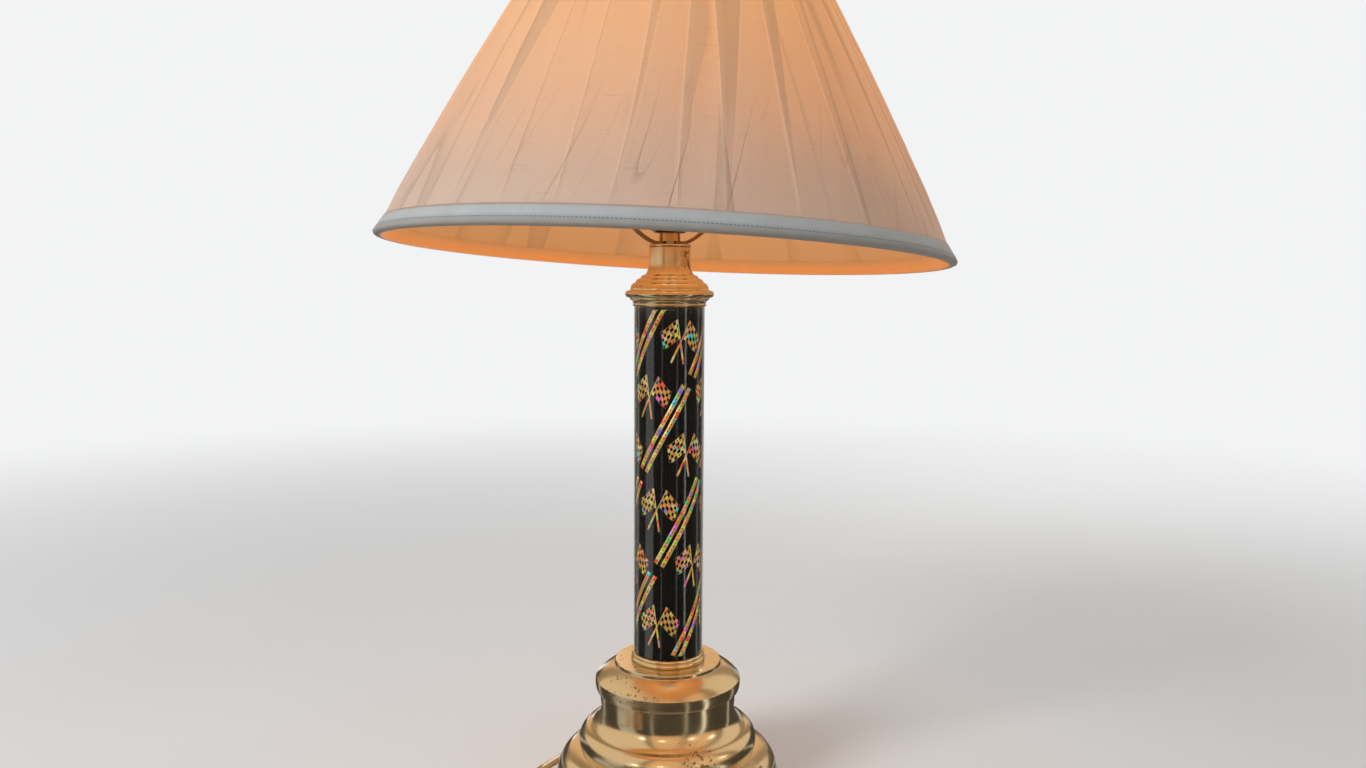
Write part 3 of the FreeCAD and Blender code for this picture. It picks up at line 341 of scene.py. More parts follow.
PLUG_REACH, PLUG_HEIGHT = 36.0, 9.85
plug_end = COIL_MIDDLE + [-COIL_RADIUS, PLUG_REACH, PLUG_HEIGHT]
last_run = [plug_end - [0, 20, 2.4], plug_end - [0, 9, 0], plug_end]
line_points = np.vstack([np.array(route, float), coil_points(), last_run]) * MM


def spline_line(points):
    """The smooth line that the points guide, read back as an evenly stepped chain of points."""
    curve = bpy.data.curves.new("line", "CURVE")
    curve.dimensions = "3D"
    spline = curve.splines.new("NURBS")
    spline.points.add(len(points) - 1)
    homogeneous = np.hstack([points, np.ones((len(points), 1))])
    spline.points.foreach_set("co", homogeneous.astype(np.float32).ravel())
    spline.order_u = 3
    spline.use_endpoint_u = True
    spline.resolution_u = 8
    holder = bpy.data.objects.new("line", curve)
    flat = bpy.data.meshes.new_from_object(holder)
    chain = np.empty(len(flat.vertices) * 3, np.float32)
    flat.vertices.foreach_get("co", chain)
    bpy.data.objects.remove(holder)
    return chain.reshape(-1, 3).astype(float)


cord_line = spline_line(line_points)
cord_run = run_along(cord_line)
cord_length = float(cord_run[-1])
print("cord line", len(cord_line), "points,", round(cord_length, 3), "m")

# %% Cord body
SECTION_POINTS = 20


def twin_section():
    """Two round lobes side by side: a rounded bar whose thickness dips in the middle."""
    angle = np.linspace(0, 2 * math.pi, SECTION_POINTS, endpoint=False)
    half_wide, half_thick = CORD_WIDTH / 2 * MM, CORD_THICKNESS / 2 * MM
    lobe = half_wide - half_thick
    across = half_thick * np.cos(angle) + lobe * np.sign(np.cos(angle)) * np.abs(np.cos(angle)) ** 0.35
    waist = 1 - 0.3 * np.exp(-((across / (0.45 * lobe)) ** 2))
    return across, half_thick * np.sin(angle) * waist


def swept(line, across, up):
    """The section carried along a line: its width stays level, square to the line's run in plan."""
    run = np.gradient(line, axis=0)
    run /= np.linalg.norm(run, axis=1, keepdims=True)
    side = np.cross(run, [0, 0, 1.0])
    side /= np.linalg.norm(side, axis=1, keepdims=True)
    top = np.cross(side, run)
    return line[:, None] + side[:, None] * across[None, :, None] + top[:, None] * up[None, :, None]


def closed_tube(rings):
    """Points and faces of a tube of rings, closed at each end by a fan round a middle point."""
    count, around = rings.shape[:2]
    points = np.vstack([rings.reshape(-1, 3), rings[0].mean(0), rings[-1].mean(0)])
    spot = np.arange(around)
    after, last = (spot + 1) % around, (count - 1) * around
    start_fan = np.stack([np.full(around, count * around), after, spot], -1)
    end_fan = np.stack([np.full(around, count * around + 1), last + spot, last + after], -1)
    return points, [grid_faces(count, around, wrap_columns=True), start_fan, end_fan]


# %% [markdown]
# ## Effects that several finishes share
# Spun brass carries fine rings from the lathe, hazy places and a few brown specks where the lacquer has worn.
# Cloth shows its threads and, on this shade, long creases that are crisp on one side and fade out on the
# other. They are where a noise, drawn out along the cloth, passes its middle value. A crease both tilts the
# surface and darkens the colour along its crisp side: painted shade. Each effect is one node group, built
# once. Painting them as pictures would fix their scale; node textures stay sharp at any distance.

# %% Spun metal
spun_marks, given, made = shared_group(
    "spun marks",
    {"Place": ("Vector", (0, 0, 0)), "Gloss": ("Float", 0.12), "Haze": ("Float", 0.1),
     "Specks": ("Float", 0.5)},
    {"Roughness": "Float", "Height": "Float", "Stain": "Float"},
)
RINGS_A_METRE, HAZE_A_METRE, SPECKS_A_METRE = 900.0, 22.0, 260.0
SPECK_LEVEL, RING_SHARE, SPECK_SHARE = 0.41, 0.05, 0.25
parts = split(spun_marks, given["Place"])
flat_place = add(spun_marks, "ShaderNodeCombineXYZ", {"X": parts["X"], "Y": parts["Y"]}).outputs[0]
reach = add(spun_marks, "ShaderNodeVectorMath", {0: flat_place}, operation="LENGTH").outputs["Value"]
ring_place = add(spun_marks, "ShaderNodeCombineXYZ", {"X": reach, "Y": parts["Z"]}).outputs[0]
rings = noise(spun_marks, ring_place, RINGS_A_METRE, 3.0)
haze = noise(spun_marks, given["Place"], HAZE_A_METRE, 5.0)
haze = maths(spun_marks, "MULTIPLY", maths(spun_marks, "POWER", haze, 3.0), given["Haze"])
speck = noise(spun_marks, given["Place"], SPECKS_A_METRE, 2.0)
where = noise(spun_marks, given["Place"], HAZE_A_METRE, 1.0)
speck = maths(spun_marks, "GREATER_THAN", maths(spun_marks, "MULTIPLY", speck, where), SPECK_LEVEL)
roughness = maths(spun_marks, "ADD", given["Gloss"], haze)
roughness = maths(spun_marks, "ADD", roughness, maths(spun_marks, "MULTIPLY", rings, RING_SHARE))
roughness = maths(spun_marks, "ADD", roughness, maths(spun_marks, "MULTIPLY", speck, SPECK_SHARE))
stain = maths(spun_marks, "MULTIPLY", speck, given["Specks"])
feed(made, Roughness=roughness, Height=rings, Stain=stain)

# %% Mottle
mottle, given, made = shared_group(
    "mottle",
    {"Place": ("Vector", (0, 0, 0)), "Fineness": ("Float", 200.0), "Gloss": ("Float", 0.4),
     "Spread": ("Float", 0.2)},
    {"Roughness": "Float", "Height": "Float", "Cloud": "Float"},
)
CLOUD_SHARE = 0.15
grain = noise(mottle, given["Place"], given["Fineness"], 6.0)
cloud = noise(mottle, given["Place"], maths(mottle, "MULTIPLY", given["Fineness"], CLOUD_SHARE), 3.0)
roughness = maths(mottle, "ADD", given["Gloss"], swing(mottle, cloud, given["Spread"]))
feed(made, Roughness=roughness, Height=grain, Cloud=cloud)

# %% Woven threads
woven, given, made = shared_group(
    "woven threads",
    {"Flat place": ("Vector", (0, 0, 0)), "Threads": ("Float", 1800.0), "Slubs": ("Float", 0.5)},
    {"Height": "Float", "Slub": "Float"},
)
SLUB_STRETCH, SLUB_LOW, SLUB_HIGH = (60.0, 900.0, 1.0), 0.62, 0.74
parts = split(woven, given["Flat place"])
thread_turn = maths(woven, "MULTIPLY", given["Threads"], math.pi)
warp = maths(woven, "ABSOLUTE", maths(woven, "SINE", maths(woven, "MULTIPLY", parts["X"], thread_turn)))
weft = maths(woven, "ABSOLUTE", maths(woven, "SINE", maths(woven, "MULTIPLY", parts["Y"], thread_turn)))
slub_place = add(woven, "ShaderNodeMapping",
                 {"Vector": given["Flat place"], "Scale": SLUB_STRETCH}).outputs[0]
slub = share_between(woven, noise(woven, slub_place, 1.0, 2.0), SLUB_LOW, SLUB_HIGH)
slub = maths(woven, "MULTIPLY", slub, given["Slubs"])
feed(made, Height=maths(woven, "ADD", maths(woven, "ADD", warp, weft), slub), Slub=slub)

# %% Creases
creased, given, made = shared_group(
    "creases",
    {"Flat place": ("Vector", (0, 0, 0)), "Across": ("Float", 24.0), "Along": ("Float", 3.0),
     "Slant": ("Float", 0.0), "Fall": ("Float", 0.05), "Cover": ("Float", 0.5)},
    {"Line": "Float", "Height": "Float"},
)
PATCH_STRETCH, PATCH_CONTRAST = (17.0, 7.0, 1.0), 7.0
turned = add(creased, "ShaderNodeVectorRotate", {"Vector": given["Flat place"], "Angle": given["Slant"]},
             rotation_type="Z_AXIS").outputs[0]
stretch = add(creased, "ShaderNodeCombineXYZ",
              {"X": given["Across"], "Y": given["Along"], "Z": 1.0}).outputs[0]
drawn_out = add(creased, "ShaderNodeVectorMath", {0: turned, 1: stretch}, operation="MULTIPLY").outputs[0]
past = maths(creased, "SUBTRACT", noise(creased, drawn_out, 1.0, 0.6), 0.5)
slope = maths(creased, "SUBTRACT", 1.0, maths(creased, "DIVIDE", past, given["Fall"]))
slope = add(creased, "ShaderNodeClamp", {0: slope}).outputs[0]
ledge = maths(creased, "MULTIPLY", maths(creased, "GREATER_THAN", past, 0.0),
              maths(creased, "POWER", slope, 2.0))
patch_place = add(creased, "ShaderNodeMapping", {"Vector": turned, "Scale": PATCH_STRETCH}).outputs[0]
patch_level = maths(creased, "SUBTRACT", 1.0, given["Cover"])
patch = maths(creased, "SUBTRACT", noise(creased, patch_place, 1.0, 1.0), patch_level)
patch = add(creased, "ShaderNodeClamp", {0: maths(creased, "MULTIPLY", patch, PATCH_CONTRAST)}).outputs[0]
# The line is painted shade: finishes darken their colour by it along each crease.
line = maths(creased, "MULTIPLY", ledge, patch)
feed(made, Line=line, Height=maths(creased, "SUBTRACT", 1.0, line))

# %% [markdown]
# ## Metal and plastic finishes
# The brass here is polished and lacquered: pale champagne yellow, nearly a mirror, a little browner in its
# specks. Hidden iron, zinc-plated steel and moulded plastic get the quiet mottle that casting and moulding
# leave.

# %% Finish helpers
BRASS = (0.76, 0.61, 0.38)
TARNISH = (0.22, 0.11, 0.04)


def bumped(tree, height, depth, strength=1.0):
    """A normal tilted by a height map, whose depth is in metres."""
    return add(tree, "ShaderNodeBump", {"Height": height, "Distance": depth, "Strength": strength}).outputs[0]


def spun_material(name, colour, gloss, haze, specks, depth):
    """Metal turned on a lathe, polished and lacquered."""
    material, tree, shader = new_material(name, Metallic=1.0, Coat_Weight=0.35, Coat_Roughness=0.04)
    marks = placed(tree, spun_marks, Place=object_place(tree), Gloss=gloss, Haze=haze, Specks=specks)
    feed(shader, Base_Color=mixed(tree, marks["Stain"], (*colour, 1), (*TARNISH, 1)),
         Roughness=marks["Roughness"], Normal=bumped(tree, marks["Height"], depth))
    return material


def lay_mottle(shader, first, second, fineness, gloss, spread):
    """Gives a shader a mottle between two colours and an uneven gloss; the height of its marks comes back."""
    tree = shader.id_data
    marks = placed(tree, mottle, Place=object_place(tree), Fineness=fineness, Gloss=gloss, Spread=spread)
    feed(shader, Base_Color=ramp(tree, marks["Cloud"], [(0.3, first), (0.7, second)]),
         Roughness=marks["Roughness"])
    return marks["Height"]


def mottled_material(name, first, second, fineness, gloss, spread, depth, **plain):
    """A moulded, cast, plated or pressed surface between two colours."""
    material, tree, shader = new_material(name, **plain)
    feed(shader, Normal=bumped(tree, lay_mottle(shader, first, second, fineness, gloss, spread), depth))
    return material


# %% Finishes of the carried-over pieces
brass = spun_material("brass_polished", BRASS, 0.1, 0.7, 0.7, 0.000004)
drawn_brass = spun_material("brass_drawn", (0.66, 0.48, 0.24), 0.2, 0.4, 0.4, 0.00001)
# Dark brown brass for the socket's cap and the saddle: their darkness is painted reflection of dark
# surroundings, not ageing.
dark_reflection_brass = spun_material("brass_dark_reflection", (0.3, 0.17, 0.065), 0.24, 0.4, 0.4, 0.00001)
steel = mottled_material("zinc_steel", (0.5, 0.51, 0.52), (0.62, 0.62, 0.6), 500, 0.32, 0.2, 0.00001,
                         Metallic=1.0)
iron = mottled_material("cast_iron", (0.05, 0.05, 0.055), (0.1, 0.1, 0.1), 900, 0.7, 0.2, 0.00015,
                        Metallic=0.6)
nylon = mottled_material("nylon", (0.78, 0.76, 0.69), (0.84, 0.83, 0.78), 300, 0.42, 0.1, 0.00001)
felt = mottled_material("felt", (0.02, 0.055, 0.03), (0.045, 0.1, 0.055), 2500, 0.95, 0.05, 0.0003,
                        Sheen_Weight=0.4)
dark_plastic = mottled_material("dark_plastic", (0.012, 0.01, 0.008), (0.025, 0.02, 0.016), 700, 0.35, 0.15,
                                0.00001)
liner_card = mottled_material("fibre_paper", (0.2, 0.15, 0.08), (0.3, 0.23, 0.13), 1200, 0.85, 0.1, 0.00005)
contact_metal = mottled_material("contact_metal", (0.6, 0.59, 0.55), (0.7, 0.69, 0.66), 400, 0.28, 0.2,
                                 0.00001, Metallic=1.0)
plug_vinyl = mottled_material("plug_vinyl", (0.36, 0.2, 0.05), (0.46, 0.27, 0.08), 500, 0.38, 0.15, 0.00002,
                              Coat_Weight=0.15)
frame_wire = mottled_material("painted_wire", (0.68, 0.65, 0.6), (0.78, 0.75, 0.7), 350, 0.4, 0.1, 0.00002)

FINISHES = {
    "brass": brass, "steel": steel, "iron": iron, "nylon": nylon, "felt": felt, "dark_plastic": dark_plastic,
    "liner_card": liner_card, "contact_metal": contact_metal, "plug_vinyl": plug_vinyl,
    "frame_wire": frame_wire,
}
DRAWN = ("harp_wire", "harp_saddle", "harp_feet", "left_sleeve", "right_sleeve", "socket_shell", "socket_cap")
SLOTS = {
    "steel": ["base_plate", "lock_washer", "rod_nuts", "centre_rod", "motor_bracket", "drive_motor",
              "bracket_screws"],
    "iron": ["base_weight"],
    "nylon": ["lower_bush", "upper_bush", "drum_lower_hub", "drum_gear", "drum_top_hub", "motor_pinion"],
    "felt": ["felt_pad"],
    "dark_plastic": ["socket_core", "switch_knob", "cord_bushing"],
    "liner_card": ["socket_liner"],
    "contact_metal": ["screw_shell", "centre_contact", "bulb_base", "plug_blades", "motor_shaft",
                      "knob_stem"],
    "plug_vinyl": ["cord_plug"],
    "frame_wire": ["shade_ring", "shade_top_ring", "shade_ribs", "shade_spider"],
}
slot_of = {node: slot for slot, names in SLOTS.items() for node in names}
for name, piece in nodes.items():
    slot = slot_of.get(name, "brass")
    finish = drawn_brass if name in DRAWN else FINISHES[slot]
    piece.data.materials.clear()
    piece.data.materials.append(finish)
print(len(nodes), "packed pieces have a finish")

# %% [markdown]
# ### Finish of the cord
# Clear vinyl is neither paint nor glass: light goes a little way in, tints golden and comes out again, and
# the bright stranded copper shows through as two darker lines. A partly clear shader over a colour that
# follows the cord's own width gives that look without modelling strands that nobody sees.

# %% Cord piece
TWISTS_ALONG, TWISTS_ACROSS = 2600.0, 2200.0
CORE_STOPS = [(0.0, (0.5, 0.3, 0.08)), (0.3, (0.62, 0.36, 0.1)), (0.55, (0.4, 0.2, 0.05)),
              (1.0, (0.8, 0.55, 0.22))]
cord_vinyl, tree, shader = new_material("cord_vinyl", Roughness=0.22, IOR=1.5, Coat_Weight=0.4,
                                        Coat_Roughness=0.08)
parts = split(tree, cloth_place(tree))
twist = maths(tree, "SINE", maths(tree, "ADD", maths(tree, "MULTIPLY", parts["Y"], TWISTS_ALONG),
                                  maths(tree, "MULTIPLY", parts["X"], TWISTS_ACROSS)))
lobe = maths(tree, "ABSOLUTE", parts["X"])
core = ramp(tree, maths(tree, "MULTIPLY", lobe, 1000.0 / CORD_WIDTH * 2), CORE_STOPS)
strands = ramp(tree, maths(tree, "MULTIPLY_ADD", twist, 0.5, 0.5),
               [(0.0, (0.75, 0.75, 0.75)), (1.0, (1, 1, 1))])
feed(shader, Base_Color=shaded(core, strands), Subsurface_Weight=0.25,
     Subsurface_Radius=(0.004, 0.002, 0.0008), Subsurface_Scale=1.0)

section_across, section_up = twin_section()
cord_rings = swept(cord_line, section_across, section_up)
cord_points, cord_faces = closed_tube(cord_rings)
cord = mesh_piece("flex_cord", cord_points, cord_faces, "stand", cord_vinyl)
ring_across = np.broadcast_to(section_across, cord_rings.shape[:2]).ravel()
give_uv(cord, np.append(ring_across, [0, 0]),
        np.append(np.repeat(cord_run, SECTION_POINTS), [0, cord_length]))
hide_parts("power_cord", "cord_coil")
print("cord", len(cord.data.polygons), "faces")

# %% [markdown]
# ## Brass shells
# The base, the cap, the neck and the socket's cap are spun or turned parts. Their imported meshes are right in
# size, but a mirror finish shows every facet of a coarse mesh. So the eight that show are turned again from
# their profiles in fine steps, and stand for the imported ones.

# %% Rounded profiles
STEPS_ROUND = 256


def profile_line(marks, steps=7):
    """Points of a profile: a mark of two numbers is a corner, one of three is a point its arc passes."""
    line, bend = [np.array(marks[0][:2], float)], None
    for mark in marks[1:]:
        if len(mark) == 3:
            bend = np.array(mark[:2], float)
            continue
        start, stop = line[-1], np.array(mark, float)
        if bend is None:
            line.append(stop)
            continue
        line.extend(arc_points(start, bend, stop, steps))
        bend = None
    return np.array(line)


def arc_points(start, bend, stop, steps):
    """Points after start on the circle through three points: its centre, and its turn between the ends."""
    first, second = bend - start, stop - start
    twice = 2 * (first[0] * second[1] - first[1] * second[0])
    squares = np.array([first @ first, second @ second])
    centre = start + np.array([second[1] * squares[0] - first[1] * squares[1],
                               first[0] * squares[1] - second[0] * squares[0]]) / twice
    begin, past, end = (math.atan2(*(point - centre)[::-1]) for point in (start, bend, stop))
    turn = (end - begin) % (2 * math.pi)
    if (past - begin) % (2 * math.pi) > turn:
        turn -= 2 * math.pi
    radius = np.linalg.norm(start - centre)
    angle = begin + turn * np.arange(1, steps + 1) / steps
    return list(centre + radius * np.stack([np.cos(angle), np.sin(angle)], -1))


def turned_piece(name, marks, node, material, body="stand", steps=7, bevel=0.25):
    """A closed profile turned about the upright axis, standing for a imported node."""
    line = profile_line([*marks, marks[0]], steps)[:-1]
    points = lathe_points(line[:, 0] * MM, line[:, 1] * MM, STEPS_ROUND)
    faces = grid_faces(len(line), STEPS_ROUND, wrap_rows=True, wrap_columns=True)
    if loop_area(line) < 0:
        faces = faces[:, ::-1]
    piece = mesh_piece(name, points, [faces], body, material)
    sharpen(piece, bevel)
    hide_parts(node)
    return piece


def sharpen(piece, bevel):
    """Rounds the corners of a turned profile slightly, as spinning and polishing do."""
    rounding = piece.modifiers.new("soft edges", "BEVEL")
    rounding.width = bevel * MM
    rounding.segments = 2
    rounding.limit_method = "ANGLE"
    rounding.angle_limit = math.radians(28)
    rounding.harden_normals = True


# %% Heights of the brass stack
heights = {name: [corner.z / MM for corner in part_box(name)] for name in nodes}
foot_low, shell_top = heights["base_shell"]
crown_top = heights["base_crown"][1]
tube_foot = heights["tube_seat"][1]
collar_low, cap_low = heights["tube_collar"]
cap_high = heights["top_cap"][1]
tube_low, tube_high = heights["clear_tube"]
neck_low, neck_high = heights["neck_sleeve"]
WALL = 1.2
FOOT_RADIUS, SHOULDER_RADIUS, BEAD_RADIUS = 83.0, 72.8, 66.0
WAIST_RADIUS, CROWN_RADIUS, STEP_RADIUS = 49.5, 53.8, 39.5
TUBE_RADIUS, CAP_RADIUS, NECK_RADIUS = 25.4, 32.2, 14.7
foot_top, shoulder_top, bead_top = 12.6, 30.2, 47.9
crown_edge, slope_top = shell_top + 9.5, shell_top + 20.0
crown_hole = TUBE_RADIUS - 3.4
print("base", foot_low, "to", round(crown_top, 2), "mm; tube foot at", round(tube_foot, 2))

# %% Turned brass
turned_piece("base_shell_spun", [
    (FOOT_RADIUS, foot_low), (FOOT_RADIUS, foot_top - 0.6), (FOOT_RADIUS - 0.8, foot_top + 0.5),
    (FOOT_RADIUS - 2.6, shoulder_top - 8.6, 1), (SHOULDER_RADIUS, shoulder_top),
    (BEAD_RADIUS - 1.3, shoulder_top + 2.1), (BEAD_RADIUS, shoulder_top + 8.0, 1),
    (BEAD_RADIUS - 6.0, bead_top), (BEAD_RADIUS - 7.2, bead_top + 0.3),
    (WAIST_RADIUS + 3.5, bead_top + 4.8, 1), (WAIST_RADIUS, bead_top + 14.2),
    (WAIST_RADIUS + 0.7, shell_top - 5.8), (WAIST_RADIUS + 0.7, shell_top), (WAIST_RADIUS - 3.0, shell_top),
    (WAIST_RADIUS - 3.0, shell_top - WALL), (WAIST_RADIUS + 0.7 - WALL, shell_top - WALL),
    (WAIST_RADIUS + 0.7 - WALL, shell_top - 5.8), (WAIST_RADIUS - WALL, bead_top + 14.0),
    (WAIST_RADIUS + 2.5, bead_top + 3.9, 1), (BEAD_RADIUS - 7.8, bead_top - WALL),
    (BEAD_RADIUS - WALL, shoulder_top + 7.0, 1), (BEAD_RADIUS - 2.3, shoulder_top + 0.8),
    (SHOULDER_RADIUS - 0.8, shoulder_top - WALL), (FOOT_RADIUS - 3.9, shoulder_top - 9.4, 1),
    (FOOT_RADIUS - 2.0, foot_top + 0.4), (FOOT_RADIUS - WALL, foot_top - 0.8), (FOOT_RADIUS - WALL, foot_low),
], "base_shell", brass)
turned_piece("base_crown_spun", [
    (WAIST_RADIUS - 0.6, shell_top), (CROWN_RADIUS - 2.2, shell_top), (CROWN_RADIUS - 0.8, shell_top + 1.0),
    (CROWN_RADIUS + 0.1, shell_top + 5.4, 1), (CROWN_RADIUS - 0.1, crown_edge),
    (CROWN_RADIUS - 0.8, crown_edge + 0.7), (STEP_RADIUS + 7.6, slope_top - 4.4, 1), (STEP_RADIUS, slope_top),
    (STEP_RADIUS - 0.4, crown_top - 0.5), (STEP_RADIUS - 0.9, crown_top), (crown_hole, crown_top),
    (crown_hole, crown_top - WALL), (STEP_RADIUS - 1.6, crown_top - WALL),
    (STEP_RADIUS - 1.2, slope_top - 0.9), (STEP_RADIUS + 6.8, slope_top - 5.4, 1),
    (CROWN_RADIUS - 1.8, crown_edge - 0.4), (CROWN_RADIUS - 1.2, shell_top + 5.4, 1),
    (CROWN_RADIUS - 2.2, shell_top + WALL), (WAIST_RADIUS - 0.6, shell_top + WALL),
], "base_crown", brass)
turned_piece("tube_seat_turned", [
    (crown_hole, crown_top), (TUBE_RADIUS + 1.3, crown_top), (TUBE_RADIUS + 2.1, crown_top + 1.5, 1),
    (TUBE_RADIUS + 1.3, crown_top + 2.9), (TUBE_RADIUS + 1.0, crown_top + 3.2),
    (TUBE_RADIUS + 1.6, crown_top + 4.4, 1), (TUBE_RADIUS + 0.9, tube_foot - 0.3),
    (TUBE_RADIUS + 0.05, tube_foot), (TUBE_RADIUS + 0.05, tube_low), (crown_hole, tube_low),
], "tube_seat", brass)
turned_piece("tube_collar_turned", [
    (TUBE_RADIUS + 0.05, collar_low), (TUBE_RADIUS + 0.6, collar_low),
    (TUBE_RADIUS + 1.2, collar_low + 1.1, 1), (TUBE_RADIUS + 0.9, collar_low + 2.2),
    (TUBE_RADIUS + 1.5, collar_low + 3.6, 1), (TUBE_RADIUS + 2.7, collar_low + 4.7),
    (TUBE_RADIUS + 3.6, collar_low + 5.2), (TUBE_RADIUS + 3.6, cap_low), (crown_hole, cap_low),
    (crown_hole, tube_high), (TUBE_RADIUS + 0.05, tube_high),
], "tube_collar", brass)
bell = CAP_RADIUS - 3.8
turned_piece("top_cap_spun", [
    (CAP_RADIUS - 8, cap_low), (CAP_RADIUS - 2.4, cap_low), (CAP_RADIUS, cap_low + 2.5, 1),
    (CAP_RADIUS - 2.4, cap_low + 5.0), (bell, cap_low + 5.4), (bell - 0.5, cap_low + 8.0, 1),
    (bell - 3.2, cap_low + 10.6), (bell - 3.8, cap_low + 10.8), (bell - 4.8, cap_low + 12.6, 1),
    (bell - 6.8, cap_low + 13.6), (bell - 7.4, cap_low + 13.8), (bell - 8.4, cap_low + 15.4, 1),
    (bell - 10.2, cap_low + 16.2), (bell - 10.8, cap_low + 16.4), (NECK_RADIUS + 1.3, cap_low + 19.2, 1),
    (NECK_RADIUS + 0.6, cap_high), (NECK_RADIUS + 0.05, cap_high), (NECK_RADIUS + 0.05, cap_low + 14.4),
    (bell - 4.8, cap_low + 9.6), (bell - 2.0, cap_low + 5.6), (CAP_RADIUS - 8, cap_low + 3.6),
], "top_cap", brass)
turned_piece("neck_sleeve_turned", [
    (NECK_RADIUS - 1.0, neck_low), (NECK_RADIUS, neck_low), (NECK_RADIUS, neck_high),
    (NECK_RADIUS - 1.0, neck_high),
], "neck_sleeve", brass, bevel=0.1)
ROD_HOLE, HUB_RADIUS, SOCKET_RADIUS, SOCKET_SKIN, FLARE_DROP = 5.0, 7.7, 16.9, 0.5, 1.9
hub_low, flare = heights["socket_hub"][0], heights["socket_cap"][0] - FLARE_DROP
socket_edge = heights["socket_cap"][1]
turned_piece("socket_hub_turned", [
    (ROD_HOLE, hub_low), (HUB_RADIUS, hub_low), (HUB_RADIUS, flare), (ROD_HOLE, flare),
], "socket_hub", drawn_brass, bevel=0.2)
# The socket's cap takes the dark brass: painted dark reflection.
turned_piece("socket_cap_pressed", [
    (ROD_HOLE, flare), (HUB_RADIUS + 3.2, flare), (HUB_RADIUS + 3.9, flare + 0.8),
    (SOCKET_RADIUS - 1.2, flare + 2.9), (SOCKET_RADIUS + 0.1, flare + 7.0, 1),
    (SOCKET_RADIUS + SOCKET_SKIN, socket_edge), (SOCKET_RADIUS + 0.05, socket_edge),
    (SOCKET_RADIUS + 0.05, flare + 12.0), (SOCKET_RADIUS - 0.8, flare + 7.0, 1),
    (SOCKET_RADIUS - 2.2, flare + 4.2), (HUB_RADIUS + 3.4, flare + 3.5), (ROD_HOLE, flare + 3.5),
], "socket_cap", dark_reflection_brass, bevel=0.2)

# %% [markdown]
# ## Clear tube and black drum
# A fixed clear tube stands round the turning drum. It is what catches the long upright highlights, so it has
# to be a real tube with two walls, thin enough for the black behind it to stay black. The drum itself is
# gloss black.

# %% Tube and drum
DRUM_RADIUS, DRUM_WALL = 23.85, 1.2
drum_low, drum_high = heights["drum_tube"]
clear_plastic, tree, shader = new_material("clear_tube", Transmission_Weight=1.0, IOR=1.49,
                                           Base_Color=(0.97, 0.98, 0.98, 1))
marks = placed(tree, mottle, Place=object_place(tree), Fineness=60.0, Gloss=0.05, Spread=0.02)
feed(shader, Roughness=marks["Roughness"])
black_gloss, tree, shader = new_material("black_gloss", Coat_Weight=0.3, Coat_Roughness=0.04,
                                         Specular_IOR_Level=0.3)
lay_mottle(shader, (0.002, 0.002, 0.003), (0.005, 0.005, 0.006), 120.0, 0.12, 0.08)

tube = turned_piece("clear_tube_wall", [
    (TUBE_RADIUS - WALL, tube_low), (TUBE_RADIUS, tube_low), (TUBE_RADIUS, tube_high),
    (TUBE_RADIUS - WALL, tube_high),
], "clear_tube", clear_plastic, bevel=0.1)
drum = turned_piece("drum_wall", [
    (DRUM_RADIUS - DRUM_WALL, drum_low), (DRUM_RADIUS, drum_low), (DRUM_RADIUS, drum_high),
    (DRUM_RADIUS - DRUM_WALL, drum_high),
], "drum_tube", black_gloss, body="drum", bevel=0.1)

# %% [markdown]
# ## Foil decals
# Three helical bands of crossed chequered flags alternate with pairs of slanting stripes. Each decal is cut
# from metallic foil that splits light into colours: gold from most angles, with patches of red, green, blue
# and violet. A decal here is a thin sheet bent onto the drum, with its dark squares cut out, so that its
# edges stay crisp and the pattern turns with the drum.

# %% Foil
PATCHES_A_METRE, BROAD_A_METRE, GRAIN_A_METRE, BROAD_SHARE = 270.0, 45.0, 1500.0, 0.2
GOLD, PALE_GOLD = linear(196, 156, 84), linear(222, 200, 132)
FOIL_STOPS = [
    (0.0, linear(216, 110, 180)), (0.12, linear(230, 90, 66)), (0.19, linear(232, 146, 74)), (0.3, GOLD),
    (0.46, PALE_GOLD), (0.57, GOLD), (0.68, linear(210, 210, 84)), (0.75, linear(96, 200, 110)),
    (0.8, linear(80, 196, 206)), (0.83, linear(146, 132, 220)), (0.86, GOLD),
]
foil, tree, shader = new_material("decal_foil", Metallic=0.6, Emission_Strength=0.5)
flat_place = cloth_place(tree)
patches = add(tree, "ShaderNodeTexVoronoi",
              {"Vector": flat_place, "Scale": PATCHES_A_METRE, "Randomness": 1.0})
pick = add(tree, "ShaderNodeSeparateColor", {0: patches.outputs["Color"]}).outputs[0]
broad = noise(tree, flat_place, BROAD_A_METRE, 1.0)
pick = maths(tree, "ADD", maths(tree, "MULTIPLY", pick, 1 - BROAD_SHARE),
             maths(tree, "MULTIPLY", broad, BROAD_SHARE))
foil_colour = ramp(tree, pick, FOIL_STOPS, "CONSTANT")
fine = noise(tree, flat_place, GRAIN_A_METRE, 2.0)
# The foil's colour is also given as a glow: painted sheen, so the decals look bright from any side.
feed(shader, Base_Color=foil_colour, Emission_Color=foil_colour,
     Roughness=maths(tree, "MULTIPLY_ADD", fine, 0.3, 0.22), Normal=bumped(tree, fine, 0.00002))

